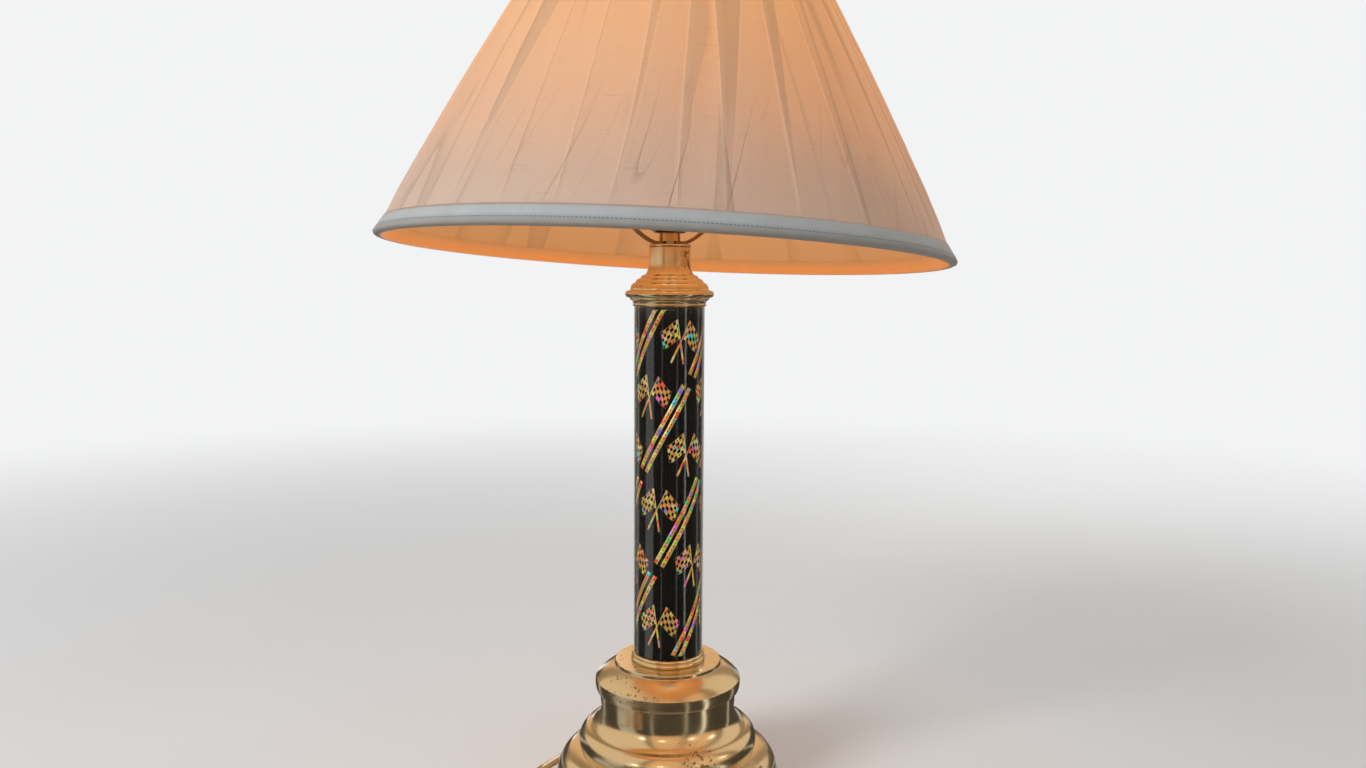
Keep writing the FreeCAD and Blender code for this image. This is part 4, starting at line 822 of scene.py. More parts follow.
# %% Decal shapes
FOIL_RADIUS, FOIL_THICK = DRUM_RADIUS + 0.03, 0.05
BANDS, STRIPE_ROWS = 3, 4
FLAG_PLACES = [(22.0, 335.2), (-32.9, 295.7), (33.3, 254.2), (-18.3, 214.5), (47.7, 172.6), (-17.1, 129.0)]
FLAG_CORNERS = np.array([(-4.1, 14.5), (-14.8, 4.8), (-11.8, -6.4), (-1.0, 2.0)])
CELLS_LONG, CELLS_TALL, HOLE_EDGE, FLAG_SCALE, FLAG_TURN = 6, 5, 0.05, 1.07, -6.0
STRIPE_START, STRIPE_PITCH, STRIPE_ANGLE, STRIPE_STEP = 341.0, 68.0, -38.0, 30.5
STRIPE_HALF, STRIPE_SHIFT, STRIPE_SWEEP, STRIPE_CLIMB = 1.5, 2.7, 78, 61.0
STRIPE_LOW, STRIPE_HIGH = tube_foot + 3.0, collar_low - 2.0


def on_drum(flat, angle, height):
    """Flat points (across, up) about a middle, bent onto the drum: the distance across becomes an angle."""
    turn = math.radians(angle) + flat[..., 0] / FOIL_RADIUS
    return np.stack([FOIL_RADIUS * np.sin(turn), -FOIL_RADIUS * np.cos(turn), height + flat[..., 1]], -1)


def turned_flat(flat, degrees):
    """Flat points turned about their middle."""
    turn = math.radians(degrees)
    across, up = flat[..., 0], flat[..., 1]
    return np.stack([across * math.cos(turn) - up * math.sin(turn),
                     across * math.sin(turn) + up * math.cos(turn)], -1)


def cell_marks(cells):
    """Grid lines of a row of cells: each cell's two sides, and the two sides of the hole in it."""
    inner = np.arange(cells)[:, None] + np.array([0.0, HOLE_EDGE, 1 - HOLE_EDGE])[None, :]
    return np.append(inner.ravel(), cells) / cells


def flag_sheet(side):
    """One waving flag: a four-cornered patch, its corners blended and its long edges bent by a sine wave."""
    tip, far, low, near = FLAG_CORNERS
    along, down = np.meshgrid(cell_marks(CELLS_LONG), cell_marks(CELLS_TALL))
    along, down = along[..., None], down[..., None]
    flat = (1 - down) * ((1 - along) * tip + along * far) + down * ((1 - along) * near + along * low)
    wave = 0.9 * np.sin(2.2 * math.pi * along) * np.array([0.4, 0.9])
    flat = (flat + wave) * [side * FLAG_SCALE, FLAG_SCALE]
    faces = grid_faces(*flat.shape[:2])
    row, column = np.divmod(np.arange(len(faces)), 3 * CELLS_LONG)
    dark = ((row // 3 + column // 3) % 2 == 1) & (row % 3 == 1) & (column % 3 == 1)
    faces = faces[~dark]
    return flat, faces if side < 0 else faces[:, ::-1]


def pole_sheet(side):
    """One flagpole: a thin strip through the crossing, wider below it."""
    foot = np.array([-5.7 if side > 0 else 2.7, -14.4]) * FLAG_SCALE
    head = np.array([4.6 * side, 14.6]) * FLAG_SCALE
    along = np.linspace(0, 1, 11)[:, None]
    run = (head - foot) / np.linalg.norm(head - foot)
    half = np.where(along < 0.5, 0.7, 0.35)
    middle = foot + along * (head - foot)
    square = np.array([run[1], -run[0]])
    flat = np.stack([middle - square * half, middle + square * half], 1)
    return flat, grid_faces(len(flat), 2)[:, ::-1]


def stripe_sheet(shift):
    """One slanting stripe: a strip that rises to the right, shifted square to its run."""
    along = np.linspace(-0.5, 0.5, 25)[:, None]
    run = np.array([2 * math.pi * FOIL_RADIUS * STRIPE_SWEEP / 360, STRIPE_CLIMB])
    middle = along * run
    square = np.array([run[1], -run[0]]) / np.linalg.norm(run)
    flat = np.stack([middle + square * (shift - STRIPE_HALF), middle + square * (shift + STRIPE_HALF)], 1)
    return flat, grid_faces(len(flat), 2)[:, ::-1]


sheets = []
for band in range(BANDS):
    band_turn = 360 / BANDS * band
    for angle, height in FLAG_PLACES:
        for make in (flag_sheet, pole_sheet):
            for side in (-1, 1):
                flat, faces = make(side)
                sheets.append((on_drum(turned_flat(flat, FLAG_TURN), angle + band_turn, height), flat, faces))
    for row in range(STRIPE_ROWS):
        height = STRIPE_START - STRIPE_PITCH * row
        for shift in (-STRIPE_SHIFT, STRIPE_SHIFT):
            flat, faces = stripe_sheet(shift)
            bent = on_drum(flat, STRIPE_ANGLE + STRIPE_STEP * row + band_turn, height)
            bent[..., 2] = np.clip(bent[..., 2], STRIPE_LOW, STRIPE_HIGH)
            sheets.append((bent, flat, faces))

# %% Decal piece
SHEET_APART = np.array([40.0, 23.0])
offsets = np.cumsum([0] + [bent.shape[0] * bent.shape[1] for bent, flat, faces in sheets])
decal_points = np.vstack([bent.reshape(-1, 3) for bent, flat, faces in sheets]) * MM
decal_faces = np.vstack([faces + offset for (bent, flat, faces), offset in zip(sheets, offsets)])
decal_flat = np.vstack([flat.reshape(-1, 2) + SHEET_APART * number
                        for number, (bent, flat, faces) in enumerate(sheets)]) * MM
decals = mesh_piece("foil_decals", decal_points, [decal_faces], "drum", foil)
give_uv(decals, decal_flat[:, 0], decal_flat[:, 1])
thicken(decals, FOIL_THICK, 1.0)
print("decals", len(sheets), "sheets,", len(decal_faces), "faces")

# %% [markdown]
# ## The shade's own frame
# The harp leans a few degrees, and the shade leans with it. Every soft piece of the shade is worked out
# upright, in the shade's own coordinates, and then set on the leaning line that the shade turns about. Its
# outline is one curve: the radius falls from the lower edge to the top along a line that swells slightly
# outwards.

# %% Shade frame
swivel = joints["shade_swivel"]
lean_line = Vector(swivel["axis"])
SADDLE_TO_SWIVEL, SHADE_TURN = 217.0, math.radians(9.0)
turned_round = Matrix.Rotation(SHADE_TURN, 3, "Z")
shade_turn = Vector((0, 0, 1)).rotation_difference(lean_line).to_matrix() @ turned_round
shade_origin = np.array(Vector(swivel["pos_m"]) - lean_line * SADDLE_TO_SWIVEL * MM)
SHADE_LOW, SHADE_TALL, SHADE_FOOT, SHADE_HEAD, SHADE_BULGE = -7.8, 238.0, 202.2, 75.2, 3.5


def shade_radius(up):
    """Outer radius of the cover at a height above its lower edge: a straight taper with a slight swell."""
    share = up / SHADE_TALL
    return SHADE_FOOT + (SHADE_HEAD - SHADE_FOOT) * share + 4 * SHADE_BULGE * share * (1 - share)


def in_shade(radius, angle, up):
    """Points at a radius, an angle and a height in the shade's own frame, placed in the room, in metres."""
    parts = np.broadcast_arrays(radius * np.cos(angle), radius * np.sin(angle), SHADE_LOW + up)
    return np.stack(parts, -1) * MM @ np.array(shade_turn).T + shade_origin


# %% [markdown]
# ## Saddle of the harp
# The harp stands in a strap of thick brass that is bent up at both ends. Its lower part lies level on the
# neck, its prongs lean with the harp, so its line runs through points of both frames. Cutting each corner of
# that line a few times rounds the bends.

# %% Saddle


def cut_corners(line, rounds=3):
    """Each corner is replaced by two points a quarter of the way along its two sides, again and again."""
    for _ in range(rounds):
        pairs = np.stack([0.75 * line[:-1] + 0.25 * line[1:], 0.25 * line[:-1] + 0.75 * line[1:]], 1)
        line = np.vstack([line[:1], pairs.reshape(-1, line.shape[1]), line[-1:]])
    return line


STRAP_MARKS = [(5.2, 0.0, 5.0, 1.1), (13.2, 0.0, 5.0, 1.1)]
ARM_MARKS = [(26.9, 10.4, 5.0, 1.1), (28.0, 13.2, 3.0, 0.8), (28.0, 22.5, 3.0, 0.8)]
SADDLE_BEVEL = 0.25
strap_turn = np.array(turned_round)
strap_side = strap_turn @ [0, 1.0, 0]
saddle_rings = []
for side in (-1, 1):
    marks = [[*(strap_turn @ [side * reach, 0, 0] * MM + [0, 0, shade_origin[2]]), wide, thick]
             for reach, up, wide, thick in STRAP_MARKS]
    marks += [[*(np.array(shade_turn) @ [side * reach, 0, up] * MM + shade_origin), wide, thick]
              for reach, up, wide, thick in ARM_MARKS]
    line = cut_corners(np.array(marks))
    run = np.gradient(line[:, :3], axis=0)
    square = np.cross(run, strap_side)
    square /= np.linalg.norm(square, axis=1, keepdims=True)
    wide, thick = (line[:, column, None, None] * MM for column in (3, 4))
    across, through = np.array([[-1], [1], [1], [-1]]), np.array([[-side], [-side], [side], [side]])
    saddle_rings.append(line[:, None, :3] + strap_side * wide * across + square[:, None] * thick * through)
tubes = [closed_tube(rings) for rings in saddle_rings]
saddle_points = np.vstack([points for points, faces in tubes])
saddle_faces = tubes[0][1] + [kind + len(tubes[0][0]) for kind in tubes[1][1]]
# The saddle takes the dark brass too: painted dark reflection.
saddle = mesh_piece("saddle_strap", saddle_points, saddle_faces, "stand", dark_reflection_brass, smooth=False)
sharpen(saddle, SADDLE_BEVEL)
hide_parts("harp_saddle")

# %% [markdown]
# ## Pleated cover
# The cover is one long strip of thin cloth. It lies flat round the wide lower ring, and the extra length is
# folded under itself towards the narrow top, so each fold is a wedge that widens upwards. Light from inside
# shines through one layer between the folds and through three layers at a wedge, so the wedges are painted
# darker, in the cloth's colour and in its glow: painted shade. Each fold is computed, so that its place can be
# chosen: its wide part is a panel that billows a little, and its wedge stands one cloth thickness proud with a
# crisp edge. The folds were laid by hand, so no two have the same width, slant or depth.

# %% Pleats
PLEATS, PANEL_COLUMNS, COVER_ROWS = 36, 10, 76
WEDGE_PARTS = np.array([0.0, 0.35, 0.7, 0.985, 1.0])
EDGE_STEP, BILLOW, COVER_INSET = 0.32, 1.1, 0.45
COVER_LOW, COVER_HIGH = 0.3, SHADE_TALL - 0.6
WIDTH_SPREAD, SLANT_WAVE, SLANT_SPREAD, SWAY = 0.45, 3.6, 2.2, 0.7
SHALLOWEST, DEEPEST, DEPTH_POWER, MOST_LOSS, THINNEST_WEDGE = 0.1, 3.0, 2.4, 0.16, 0.0006
random = np.random.default_rng(11)
pleat = np.arange(PLEATS)
pleat_share = 1 + WIDTH_SPREAD * random.uniform(-1, 1, PLEATS)
pleat_start = 2 * math.pi * np.append(0, np.cumsum(pleat_share / pleat_share.sum())[:-1])
pleat_slant = SLANT_WAVE * np.sin(0.52 * pleat + 1.0) + SLANT_SPREAD * random.uniform(-1, 1, PLEATS)
pleat_slant = np.radians(pleat_slant)
pleat_sway = math.radians(SWAY) * random.uniform(-1, 1, PLEATS)
pleat_depth = SHALLOWEST + DEEPEST * random.uniform(0, 1, PLEATS) ** DEPTH_POWER
pleat_loss = random.uniform(0.0, MOST_LOSS, PLEATS)

row_up = np.linspace(COVER_LOW, COVER_HIGH, COVER_ROWS)
row_share = row_up / SHADE_TALL
start = pleat_start[None, :] + pleat_slant[None, :] * row_share[:, None]
start = start + pleat_sway[None, :] * np.sin(math.pi * 1.6 * row_share)[:, None]
stop = np.concatenate([start[:, 1:], start[:, :1] + 2 * math.pi], 1)
width = stop - start
spare = (SHADE_FOOT / shade_radius(row_up) - 1) / 2
spare = np.maximum(spare[:, None] - pleat_loss[None, :] * 0.5, 0) * (2 * math.pi / PLEATS)
wedge = np.minimum(spare * pleat_depth[None, :], 0.7 * width) + THINNEST_WEDGE
panel_parts = np.append((np.arange(1, PANEL_COLUMNS + 1) / (PANEL_COLUMNS + 1)), 0.994)
wedge_angle = start[..., None] + wedge[..., None] * WEDGE_PARTS
panel_angle = start[..., None] + wedge[..., None] + (width - wedge)[..., None] * panel_parts
cover_angle = np.concatenate([wedge_angle, panel_angle], -1).reshape(COVER_ROWS, -1)
COLUMNS_A_PLEAT = len(WEDGE_PARTS) + len(panel_parts)

every_fold = np.ones((COVER_ROWS, PLEATS, 1))
fade = np.clip((row_share - 0.02) / 0.1, 0, 1)[:, None, None]
wedge_rise = EDGE_STEP * (1 - 0.55 * WEDGE_PARTS) * fade * every_fold
panel_rise = 0.45 * EDGE_STEP * (1 - panel_parts) ** 2 * fade * every_fold
swell = np.sin(math.pi * panel_parts) * BILLOW * random.uniform(-0.6, 1.1, PLEATS)[None, :, None] * fade
cover_rise = np.concatenate([wedge_rise, panel_rise + swell], -1).reshape(COVER_ROWS, -1)
wedge_mask = np.concatenate([np.ones(len(WEDGE_PARTS) - 1), [0.12], np.zeros(len(panel_parts))])
# The layers paint the wedges darker, and some panels a little darker as if a loose layer hung behind them:
# painted shade where the light passes more cloth.
layers = wedge_mask * np.clip((row_share - 0.05) / 0.3, 0.15, 1)[:, None, None] * every_fold
layers = layers * (0.35 + 0.65 * random.uniform(0, 1, PLEATS))[None, :, None]
loose_layer = 0.42 * random.uniform(0, 1, PLEATS)[None, :, None] * (1 - panel_parts) * fade
layers[..., len(WEDGE_PARTS):] += loose_layer
layers = layers.reshape(COVER_ROWS, -1)
# A dark line along each fold's crisp edge: painted shade.
edge = np.concatenate([[1.0, 0.2], np.zeros(COLUMNS_A_PLEAT - 3), [0.4]])
edges = (edge * fade * every_fold).reshape(COVER_ROWS, -1)

# %% Crumples
CRUMPLE_REACH, CRUMPLE_HEIGHT, WRINKLE_HEIGHT, MEAN_RIDGE = 150.0, 1.7, 1.1, 0.2


def crumpled(angle, up, seed, waves, lengths, headings):
    """Sharp ridges: one minus the size of a sine, cubed, summed over random headings and lengths."""
    draw = np.random.default_rng(seed)
    total = np.zeros_like(angle)
    along = angle * CRUMPLE_REACH
    for _ in range(waves):
        heading, length, phase = draw.uniform(*headings), draw.uniform(*lengths), draw.uniform(0, 2 * math.pi)
        bend = 5.0 * np.sin(along / draw.uniform(50, 120) + up / draw.uniform(40, 90) + phase)
        spot = (along + bend) * math.cos(heading) + (up + bend) * math.sin(heading)
        total += (1 - np.abs(np.sin(math.pi * spot / length + phase))) ** 3
    return total / waves


# %% Cover grid
crumple = crumpled(cover_angle, row_up[:, None], 5, 16, (26, 90), (0, math.pi))
wrinkle = crumpled(cover_angle, row_up[:, None], 8, 9, (16, 44), (-0.34, 0.34))
low_part = np.clip(1 - row_share / 0.5, 0, 1)[:, None]
cover_rise = cover_rise + CRUMPLE_HEIGHT * (crumple - MEAN_RIDGE) * (0.3 + 0.7 * low_part)
cover_rise = cover_rise + WRINKLE_HEIGHT * (wrinkle - MEAN_RIDGE) * (0.45 + 0.55 * low_part)
hem_hold = np.clip((row_up - 8) / 14, 0, 1)[:, None] * np.clip((SHADE_TALL - 8 - row_up) / 10, 0, 1)[:, None]
cover_radius = shade_radius(row_up)[:, None] - COVER_INSET + cover_rise * hem_hold
cover_points = in_shade(cover_radius, cover_angle, row_up[:, None])
print("cover grid", cover_angle.shape, "columns a pleat", COLUMNS_A_PLEAT)

# %% [markdown]
# ### Cloth that is lit from inside
# The cloth is a pale pinkish beige. Near the top the lamp inside makes it glow orange; near the lower edge it
# only shows its own colour. The glow is painted light in the finish: a colour of its own light that fades down
# the height of the shade, and a base colour that turns darker and more orange towards the top. So it is there
# in every view and needs no long light sampling through cloth. Folds, creases, wrinkle ridges and fold edges
# are painted darker as well: painted shade. A few smooth patches low down catch a sharper light, as cloth does
# where it is pulled tight.

# %% Cover finish
GLOW_STOPS = [(0.0, (0.15, 0.05, 0.016)), (0.15, (0.22, 0.07, 0.016)), (0.3, (0.35, 0.105, 0.018)),
              (0.45, (0.44, 0.14, 0.024)), (0.7, (0.56, 0.2, 0.04)), (1.0, (0.5, 0.17, 0.04))]
# The cloth's own beige low down, painted darker and more orange towards the top by the glow: painted light.
CLOTH_AND_GLOW_TINT_STOPS = [(0.0, (0.47, 0.42, 0.375)), (0.3, (0.44, 0.36, 0.28)), (0.6, (0.42, 0.315, 0.21)),
               (1.0, (0.4, 0.29, 0.18))]
PLAIN_GLOSS, TIGHT_GLOSS, CLOTH_THICK, CLOTH_REACH = 0.62, 0.34, 0.35, 0.14
cover_cloth, tree, shader = new_material("pleated_cloth", Sheen_Weight=0.12, Emission_Strength=1.0)
height = read_attribute(tree, "height")
layer = read_attribute(tree, "layers")
flat_place = cloth_place(tree)
weave = placed(tree, woven, Flat_place=flat_place, Threads=1500.0, Slubs=1.4)
long_fold = placed(tree, creased, Flat_place=flat_place, Across=24.0, Along=1.3, Slant=0.0, Fall=0.045,
                   Cover=0.56)
fine_fold = placed(tree, creased, Flat_place=flat_place, Across=60.0, Along=4.6, Slant=0.22, Fall=0.03,
                   Cover=0.54)
low_down = share_between(tree, height, 0.62, 0.04)
near_hem = share_between(tree, height, 0.4, 0.1)
fine_line = maths(tree, "MULTIPLY", fine_fold["Line"], near_hem)
uneven_glow_height = maths(tree, "ADD", height, swing(tree, noise(tree, flat_place, 9.0, 3.0), 0.2))

# Painted shade: the cloth's colour and glow are darkened at the wedges, along the sharpest wrinkle ridges,
# along the creases and along each fold's edge; the slubs darken it as thick threads do.
fold_shade = maths(tree, "MULTIPLY", dimmed(layer, 0.22), dimmed(read_attribute(tree, "ridges"), 0.2))
line_shade = maths(tree, "MULTIPLY", dimmed(long_fold["Line"], 0.24), dimmed(fine_line, 0.26))
small_shade = maths(tree, "MULTIPLY", dimmed(weave["Slub"], 0.07),
                    dimmed(read_attribute(tree, "edges"), 0.14))
shade_all = maths(tree, "MULTIPLY", maths(tree, "MULTIPLY", fold_shade, line_shade), small_shade)
glow_shade = maths(tree, "MULTIPLY", shade_all, dimmed(layer, 0.16))
tight = share_between(tree, noise(tree, flat_place, 7.0, 1.0), 0.52, 0.62)
tight = maths(tree, "MULTIPLY", tight, low_down)
fine_bump = bumped(tree, weave["Height"], 0.00012, 0.6)
fine_height = maths(tree, "MULTIPLY", maths(tree, "MULTIPLY", fine_fold["Height"], near_hem), 0.7)
folds = maths(tree, "ADD", long_fold["Height"], fine_height)
crease_bump = add(tree, "ShaderNodeBump",
                  {"Height": folds, "Distance": 0.0009, "Strength": 0.7, "Normal": fine_bump})
feed(shader, Base_Color=shaded(ramp(tree, uneven_glow_height, CLOTH_AND_GLOW_TINT_STOPS), shade_all),
     Emission_Color=shaded(ramp(tree, uneven_glow_height, GLOW_STOPS), glow_shade),
     Roughness=maths(tree, "MULTIPLY_ADD", tight, TIGHT_GLOSS - PLAIN_GLOSS, PLAIN_GLOSS),
     Normal=crease_bump.outputs[0])

# %% Cover piece
cover_faces = grid_faces(*cover_angle.shape, wrap_columns=True)
cover = mesh_piece("cloth_cover", cover_points, [cover_faces], "shade", cover_cloth)
give_attribute(cover, "height", np.broadcast_to(row_share[:, None], cover_angle.shape))
give_attribute(cover, "layers", layers)
give_attribute(cover, "edges", edges)
# The sharpest wrinkle ridges are painted darker: painted shade.
give_attribute(cover, "ridges", np.clip((wrinkle - 0.34) * 3.2, 0, 1) * hem_hold)
give_uv(cover, cover_angle * CLOTH_REACH, np.broadcast_to(row_up[:, None] * MM, cover_angle.shape))
thicken(cover, CLOTH_THICK, -1.0)
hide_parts("shade_cover")


# %% [markdown]
# ## Lining
# Inside hangs a plain lining of peach-coloured cloth, sewn at both rings. It is what the light strikes first,
# so seen from below it glows: painted light, as a glow and as a base colour that is lighter towards the top.
# The shadows of the cover's folds are painted on it as soft darker bars.

# %% Lining
LINING_INSET, LINING_THICK, LINING_SLACK, RIPPLE = 6.3, 0.5, 0.15, 0.12
LINING_LOW, LINING_HIGH = 1.2, SHADE_TALL - 7.2
LINING_AND_GLOW_TINT_STOPS = [(0.0, (0.4, 0.22, 0.11)), (1.0, (0.48, 0.3, 0.17))]
LINING_GLOW = [(0.0, (0.35, 0.15, 0.045)), (0.5, (0.46, 0.21, 0.07)), (1.0, (0.6, 0.32, 0.12))]
lining_up = np.linspace(LINING_LOW, LINING_HIGH, 44)
lining_angle = np.linspace(0, 2 * math.pi, 288, endpoint=False)
ripple = RIPPLE * np.sin(8 * lining_angle)[None, :] * np.sin(math.pi * lining_up / SHADE_TALL)[:, None]
lining_radius = shade_radius(lining_up)[:, None] - LINING_INSET - LINING_SLACK + ripple
lining_points = in_shade(lining_radius, lining_angle[None, :], lining_up[:, None])

lining_cloth, tree, shader = new_material("lining_cloth", Roughness=0.6, Emission_Strength=1.0)
flat_place = cloth_place(tree)
weave = placed(tree, woven, Flat_place=flat_place, Threads=1200.0, Slubs=0.4)
bars = placed(tree, creased, Flat_place=flat_place, Across=17.0, Along=1.2, Slant=0.0, Fall=0.13, Cover=0.62)
cloud = noise(tree, flat_place, 9.0, 2.0)
uneven_glow_height = maths(tree, "ADD", read_attribute(tree, "height"), swing(tree, cloud, 0.15))
bar_shade = dimmed(bars["Line"], 0.16)
feed(shader, Base_Color=shaded(ramp(tree, uneven_glow_height, LINING_AND_GLOW_TINT_STOPS), bar_shade),
     Emission_Color=shaded(ramp(tree, uneven_glow_height, LINING_GLOW), bar_shade),
     Normal=bumped(tree, weave["Height"], 0.00008, 0.5))

lining_faces = grid_faces(*lining_radius.shape, wrap_columns=True)
lining = mesh_piece("cloth_lining", lining_points, [lining_faces], "shade", lining_cloth)
give_attribute(lining, "height", np.broadcast_to((lining_up / SHADE_TALL)[:, None], lining_radius.shape))
give_uv(lining, np.broadcast_to(lining_angle * CLOTH_REACH, lining_radius.shape),
        np.broadcast_to(lining_up[:, None] * MM, lining_radius.shape))
thicken(lining, LINING_THICK, -1.0)
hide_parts("shade_lining")

# %% [markdown]
# ## Bias tape
# Both edges of the shade are bound with folded tape. The lower one is a grey-blue band with a thin pinkish
# edge along its upper side and a stitched line, and it rolls over the ring wire to the inside. Its section is
# a thin closed loop carried round the ring. Small puckers along the girth keep it from looking moulded.

# %% Tapes
HEM_TALL, HEM_WALL, HEAD_WALL, TAPE_COLUMNS, TAPE_REACH = 11.8, 0.56, 0.48, 360, 0.2
STITCH_HALF, STITCHES, STITCH_GAP = 0.012, 2600.0, -0.35


def tape_loop(outer, wall):
    """A closed section from an open line of points: out along it, and back a wall further in."""
    run = np.gradient(outer, axis=0)
    run /= np.linalg.norm(run, axis=1, keepdims=True)
    inward = np.stack([run[:, 1], -run[:, 0]], -1)
    return np.vstack([outer, (outer + inward * wall)[::-1]])


def tape_piece(name, outer, wall, material, node, puckers, depth):
    """A tape whose section is carried round the shade, with puckers that leave its edges in place."""
    section = tape_loop(outer, wall)
    angle = np.linspace(0, 2 * math.pi, TAPE_COLUMNS, endpoint=False)
    draw = np.random.default_rng(puckers)
    counts = (puckers, int(1.7 * puckers), 2 * puckers + 3)
    wave = sum(np.sin(number * angle + draw.uniform(0, 6)) for number in counts)
    count = len(outer)
    share = np.concatenate([np.linspace(0, 1, count), np.linspace(1, 0, count)])
    bulge = np.sin(math.pi * share)[:, None] * wave[None, :] * depth
    radius = section[:, :1] + bulge
    points = in_shade(radius, angle[None, :], section[:, 1:] + 0 * angle[None, :])
    faces = grid_faces(len(section), TAPE_COLUMNS, wrap_rows=True, wrap_columns=True)
    piece = mesh_piece(name, points, [faces if loop_area(section) > 0 else faces[:, ::-1]], "shade", material)
    along = run_along(section)
    along[count:] = along[count - 1] - (along[count:] - along[count])
    give_attribute(piece, "along", np.broadcast_to((along / along[count - 1])[:, None], radius.shape))
    give_uv(piece, np.broadcast_to(angle * TAPE_REACH, radius.shape),
            np.broadcast_to(along[:, None] * MM, radius.shape))
    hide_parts(node)
    return piece


def tape_material(name, stops, glow_stops, stitch):
    """Twilled tape whose colour runs across its width, with stitches along one line."""
    material, tree, shader = new_material(name, Roughness=0.42, Sheen_Weight=0.15, Emission_Strength=1.0)
    across = read_attribute(tree, "along")
    flat_place = cloth_place(tree)
    weave = placed(tree, woven, Flat_place=flat_place, Threads=1700.0, Slubs=0.3)
    near = maths(tree, "ABSOLUTE", maths(tree, "SUBTRACT", across, stitch))
    near = maths(tree, "LESS_THAN", near, STITCH_HALF)
    dash = maths(tree, "SINE", maths(tree, "MULTIPLY", split(tree, flat_place)["X"], STITCHES))
    thread = maths(tree, "MULTIPLY", near, maths(tree, "GREATER_THAN", dash, STITCH_GAP))
    shade = maths(tree, "MULTIPLY_ADD", noise(tree, flat_place, 60.0, 3.0), 0.22, 0.89)
    shade = maths(tree, "MULTIPLY", shade, dimmed(thread, 0.45))
    rise = maths(tree, "SUBTRACT", weave["Height"], maths(tree, "MULTIPLY", near, 2.0))
    feed(shader, Base_Color=shaded(ramp(tree, across, stops), shade),
         Emission_Color=ramp(tree, across, glow_stops), Normal=bumped(tree, rise, 0.00012, 0.7))
    return material


# %% Lower tape
DARK, PINK, BLUE = linear(0, 0, 0), linear(190, 168, 156), linear(186, 192, 194)
ROLL, FOLD_GLOW_TINT, GLOW = linear(158, 156, 150), linear(196, 128, 66), (0.5, 0.155, 0.03)
hem_slope = (SHADE_FOOT - shade_radius(HEM_TALL)) / HEM_TALL
hem_up = np.array([HEM_TALL, 9.6, 8.4, 6.2, 4.2, 3.6, 3.0, 1.4])
hem_out = SHADE_FOOT + 0.42 - hem_slope * hem_up + np.array([-0.25, 0.1, 0.3, 0.6, 0.9, 0.9, 1.2, 1.2])
hem_line = np.stack([hem_out, hem_up], -1)
roll = np.linspace(0, -math.pi, 9)[1:-1]
inner_reach = SHADE_FOOT - LINING_INSET - 2.0
roll_middle, roll_radius = (hem_out[-1] + inner_reach) / 2, (hem_out[-1] - inner_reach) / 2
roll_line = np.stack([roll_middle + roll_radius * np.cos(roll), 1.0 + 2.2 * np.sin(roll)], -1)
inside_line = np.array([[inner_reach, 1.4], [inner_reach - hem_slope * 5, 5.0],
                        [inner_reach - hem_slope * 9, 9.0]])
hem_outer = np.vstack([hem_line, roll_line, inside_line])
# Past the roll, on the inside, the tape is painted orange in its base colour and in its glow: painted light of
# the bulb on the inner fold. The glow stops also give its upper edge outside, and the upper tape, a faint
# painted glow.
HEM_STOPS = [
    (0.0, PINK), (0.02, PINK), (0.06, BLUE), (0.2, BLUE), (0.3, linear(160, 166, 168)), (0.37, ROLL),
    (0.54, linear(136, 124, 110)), (0.62, FOLD_GLOW_TINT), (0.8, FOLD_GLOW_TINT), (1.0, (0.4, 0.22, 0.11)),
]
HEM_GLOW = [
    (0.0, (0.06, 0.025, 0.01)), (0.08, DARK), (0.53, DARK), (0.62, GLOW), (0.74, GLOW),
    (1.0, (0.35, 0.15, 0.045)),
]
hem_tape = tape_material("hem_tape", HEM_STOPS, HEM_GLOW, 0.285)
hem_piece = tape_piece("hem_band", hem_outer, HEM_WALL, hem_tape, "hem_trim", 43, 0.12)

# %% Upper tape
HEAD_STOPS = [(0.0, PINK), (0.2, BLUE), (0.5, BLUE), (0.7, ROLL), (1.0, ROLL)]
HEAD_GLOW = [(0.0, linear(40, 28, 18)), (1.0, linear(60, 40, 22))]
head_up = SHADE_TALL + np.array([-10.0, -7.0, -3.0, -0.5])
head_out = SHADE_HEAD + 0.9 + (SHADE_TALL - head_up) * 0.586
head_in = SHADE_HEAD - 8.3
head_roll = np.linspace(0, math.pi, 7)[1:-1]
head_middle, head_half = (head_out[-1] + head_in) / 2, (head_out[-1] - head_in) / 2
head_line = np.stack([head_middle + head_half * np.cos(head_roll),
                      SHADE_TALL - 0.3 + 1.3 * np.sin(head_roll)], -1)
head_end = [[head_in, SHADE_TALL - 0.5], [head_in, SHADE_TALL - 2.2]]
head_outer = np.vstack([np.stack([head_out, head_up], -1), head_line, head_end])
head_tape = tape_material("head_tape", HEAD_STOPS, HEAD_GLOW, 0.3)
top_piece = tape_piece("top_band", head_outer[::-1], HEAD_WALL, head_tape, "top_trim", 31, 0.1)

# %% [markdown]
# ## Bulb
# A frosted bulb, lit. Its glass glows warm white, a little less towards its neck.

# %% Lit bulb
BULB_GLOW = [(0.0, (0.5, 0.3, 0.14)), (0.3, (0.9, 0.66, 0.36)), (0.6, (1, 0.84, 0.6))]
bulb_glass, tree, shader = new_material("frosted_glass", Coat_Weight=0.3, Emission_Strength=2.2)
lay_mottle(shader, (0.84, 0.8, 0.74), (0.88, 0.85, 0.8), 400.0, 0.35, 0.1)
bulb_low, bulb_high = (corner.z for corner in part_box("light_bulb"))
share = share_between(tree, split(tree, object_place(tree))["Z"], bulb_low, bulb_high)
feed(shader, Emission_Color=ramp(tree, share, BULB_GLOW))
nodes["light_bulb"].data.materials.clear()
nodes["light_bulb"].data.materials.append(bulb_glass)

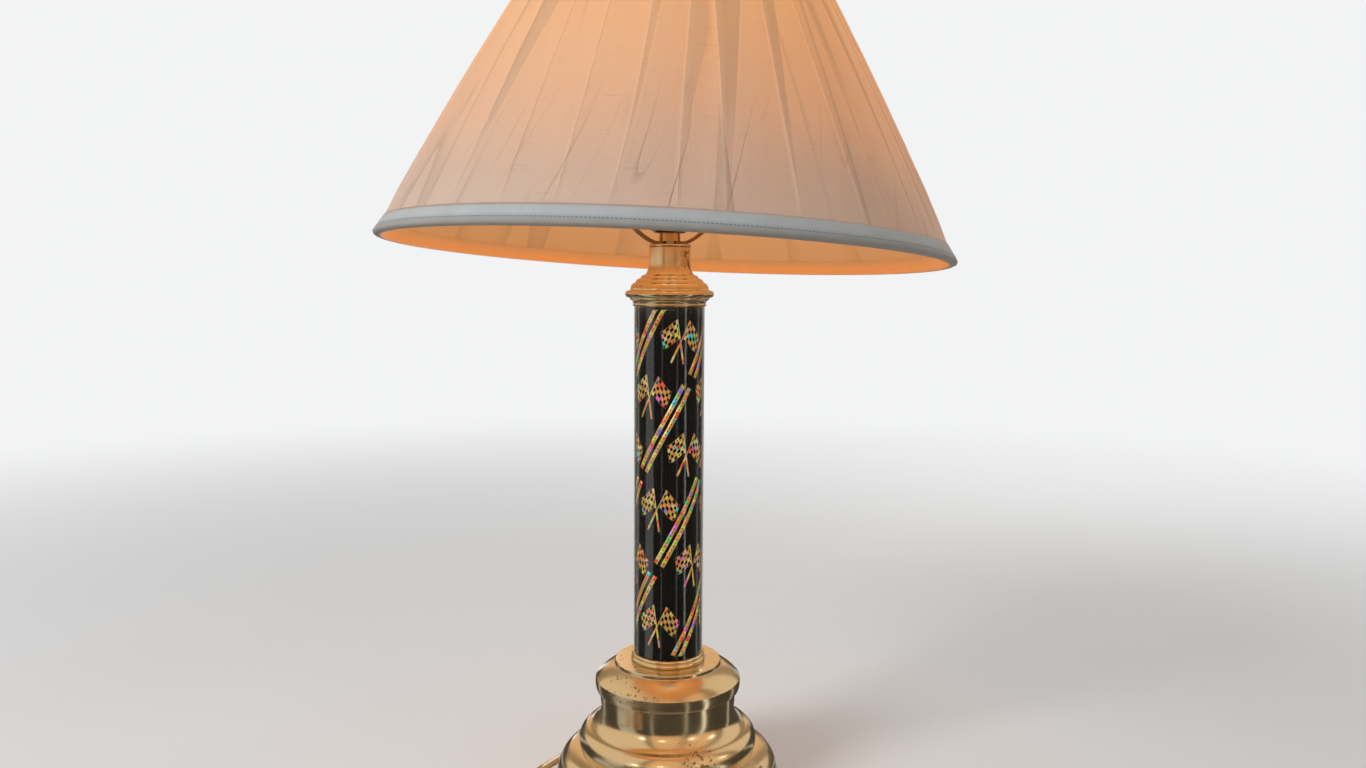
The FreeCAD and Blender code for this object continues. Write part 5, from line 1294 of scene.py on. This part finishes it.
# %% [markdown]
# ## Floor, lights and background
# Polished brass looks like what it reflects. Under an even white sky it would turn pale and flat, and gloss
# black would turn grey. So the lamp stands inside a ring of sheets that only reflections see, as a
# photographer would set them: dark ones low down and on the floor, which upright walls mirror, warm ones
# above, which slopes mirror, and a few narrow bright strips between them, which draw the long upright
# highlights. The floor is plain and pale, and fades into the white background far away.

# %% Stage
scene = bpy.context.scene
scene.view_settings.view_transform = "Standard"
PALE, WHITE = (0.87, 0.865, 0.86), (0.96, 0.965, 0.97)
AMBIENT, SHOWN = 0.31, 0.93


def staged_mesh(name, points, faces, material):
    """A mesh for the stage, linked to the scene and attached to no body of the lamp."""
    mesh = bpy.data.meshes.new(name)
    mesh.from_pydata([tuple(point) for point in points], [], [tuple(face) for face in faces])
    mesh.materials.append(material)
    piece = bpy.data.objects.new(name, mesh)
    scene.collection.objects.link(piece)
    return piece


def background_rays(tree):
    """One for a ray from the camera, from a mirror or through glass, nought for a ray that carries light."""
    path = add(tree, "ShaderNodeLightPath").outputs
    mirrored = maths(tree, "MAXIMUM", path["Is Glossy Ray"], path["Is Transmission Ray"])
    return maths(tree, "MAXIMUM", path["Is Camera Ray"], mirrored)


FLOOR_HALF, FADE_START, FADE_END = 6.0, 0.5, 2.2
floor_paint, tree, shader = new_material("pale_floor", Specular_IOR_Level=0.0)
lay_mottle(shader, tuple(0.985 * part for part in PALE), PALE, 30.0, 0.7, 0.05)
from_lamp = add(tree, "ShaderNodeVectorMath", {0: object_place(tree)}, operation="LENGTH").outputs["Value"]
far_away = share_between(tree, from_lamp, FADE_START, FADE_END, interpolation_type="SMOOTHSTEP")
glow = add(tree, "ShaderNodeEmission", {"Color": (*WHITE, 1), "Strength": SHOWN}).outputs[0]
faded = maths(tree, "MULTIPLY", far_away, background_rays(tree))
blend = add(tree, "ShaderNodeMixShader", {0: faded, 1: shader.outputs[0], 2: glow}).outputs[0]
feed(tree.nodes["Material Output"], Surface=blend)
floor_corners = [(-FLOOR_HALF, -FLOOR_HALF, 0), (FLOOR_HALF, -FLOOR_HALF, 0), (FLOOR_HALF, FLOOR_HALF, 0),
                 (-FLOOR_HALF, FLOOR_HALF, 0)]
staged_mesh("floor", floor_corners, [(0, 1, 2, 3)], floor_paint)

# %% Sheets that reflections see
SHEET_FOOT, SHEET_REACH, SHEET_LIFT, DARK_TALL, ROOF = 0.1, 2.4, 0.004, 0.3, 2.4
LOW_LINE = [(SHEET_FOOT, SHEET_LIFT), (SHEET_REACH, SHEET_LIFT), (SHEET_REACH, DARK_TALL)]
HIGH_LINE = [(SHEET_REACH, DARK_TALL), (SHEET_REACH, ROOF), (0.3, ROOF)]
SHEET_STEPS = 8


def sheet_paint(name, colour):
    """A sheet's even brightness, as mirrors see it."""
    material = bpy.data.materials.new(name)
    material.use_nodes = True
    tree = material.node_tree
    glow = add(tree, "ShaderNodeEmission", {"Color": (*colour, 1), "Strength": 1.0}).outputs[0]
    feed(tree.nodes["Material Output"], Surface=glow)
    return material


def reflected_sheet(name, line, start, stop, paint):
    """A line of (reach, height) points turned about the lamp between two directions in degrees."""
    turn = np.radians(np.linspace(start, stop, SHEET_STEPS))
    points = [[(reach * math.cos(t), reach * math.sin(t), up) for t in turn] for reach, up in line]
    sheet = staged_mesh(name, np.array(points).reshape(-1, 3), grid_faces(len(line), SHEET_STEPS), paint)
    sheet.visible_camera = sheet.visible_diffuse = sheet.visible_shadow = False


dark_paint = sheet_paint("dark_sheet", (0.07, 0.062, 0.05))
warm_paint = sheet_paint("warm_sheet", (0.84, 0.56, 0.34))
pale_paint = sheet_paint("pale_sheet", (0.82, 0.68, 0.52))
brown_paint = sheet_paint("brown_sheet", (0.34, 0.25, 0.17))
window_paint = sheet_paint("window_sheet", (4.0, 3.8, 3.4))
strip_paint = sheet_paint("bright_strip", (1.25, 1.22, 1.15))
faint_paint = sheet_paint("faint_strip", (0.5, 0.48, 0.44))
broad_paint = sheet_paint("broad_strip", (0.52, 0.52, 0.52))
STRIPS = [(-172, -141, broad_paint), (-114, -111, faint_paint), (-64, -60, faint_paint),
          (-36, -30, strip_paint), (20, 26, faint_paint), (62, 70, faint_paint), (108, 112, strip_paint),
          (142, 150, faint_paint)]
after = [strip[0] for strip in STRIPS[1:]] + [STRIPS[0][0] + 360]
for number, ((start, stop, paint), following) in enumerate(zip(STRIPS, after)):
    reflected_sheet("strip_%d" % number, LOW_LINE, start, stop, paint)
    reflected_sheet("dark_sheet_%d" % number, LOW_LINE, stop, following, dark_paint)
HIGH_SHEETS = [(-176, -128, pale_paint), (-128, -116, brown_paint), (-116, -66, warm_paint),
               (-66, -54, brown_paint), (-54, -8, warm_paint), (-8, 10, brown_paint), (10, 52, pale_paint),
               (52, 66, brown_paint), (66, 118, warm_paint), (118, 134, brown_paint), (134, 184, pale_paint)]
for number, (start, stop, paint) in enumerate(HIGH_SHEETS):
    reflected_sheet("high_sheet_%d" % number, HIGH_LINE, start, stop, paint)
WINDOWS = [(-131, 0.75, 1.15), (-98, 1.2, 1.5), (-49, 0.8, 1.2), (-12, 0.9, 1.4), (100, 0.8, 1.2)]
WINDOW_REACH, WINDOW_HALF = SHEET_REACH - 0.1, 3
for number, (heading, low, high) in enumerate(WINDOWS):
    line = [(WINDOW_REACH, low), (WINDOW_REACH, high)]
    reflected_sheet("window_%d" % number, line, heading - WINDOW_HALF, heading + WINDOW_HALF, window_paint)


# %% Lamps


def soft_lamp(name, place, aim, size, watts, colour):
    """A square area lamp turned towards the point it aims at."""
    data = bpy.data.lights.new(name, "AREA")
    data.shape, data.size, data.energy, data.color = "SQUARE", size, watts, colour
    lamp = bpy.data.objects.new(name, data)
    scene.collection.objects.link(lamp)
    lamp.location = place
    lamp.rotation_euler = (Vector(aim) - Vector(place)).to_track_quat("-Z", "Y").to_euler()
    lamp.visible_glossy = False


AIM = (0, 0, 0.35)
soft_lamp("key_lamp", (-1.75, -1.3, 1.4), AIM, 1.0, 36, (0.98, 0.99, 1.0))
soft_lamp("fill_lamp", (1.7, -1.1, 0.8), AIM, 0.8, 2.5, (1.0, 0.95, 0.88))
soft_lamp("back_lamp", (0.9, 1.6, 1.3), AIM, 0.8, 12, (1.0, 0.98, 0.96))

# %% World
world = bpy.data.worlds.new("studio")
scene.world = world
world.use_nodes = True
tree = world.node_tree
strength = maths(tree, "MULTIPLY_ADD", background_rays(tree), SHOWN - AMBIENT, AMBIENT)
feed(tree.nodes["Background"], Strength=strength, Color=(*WHITE, 1))
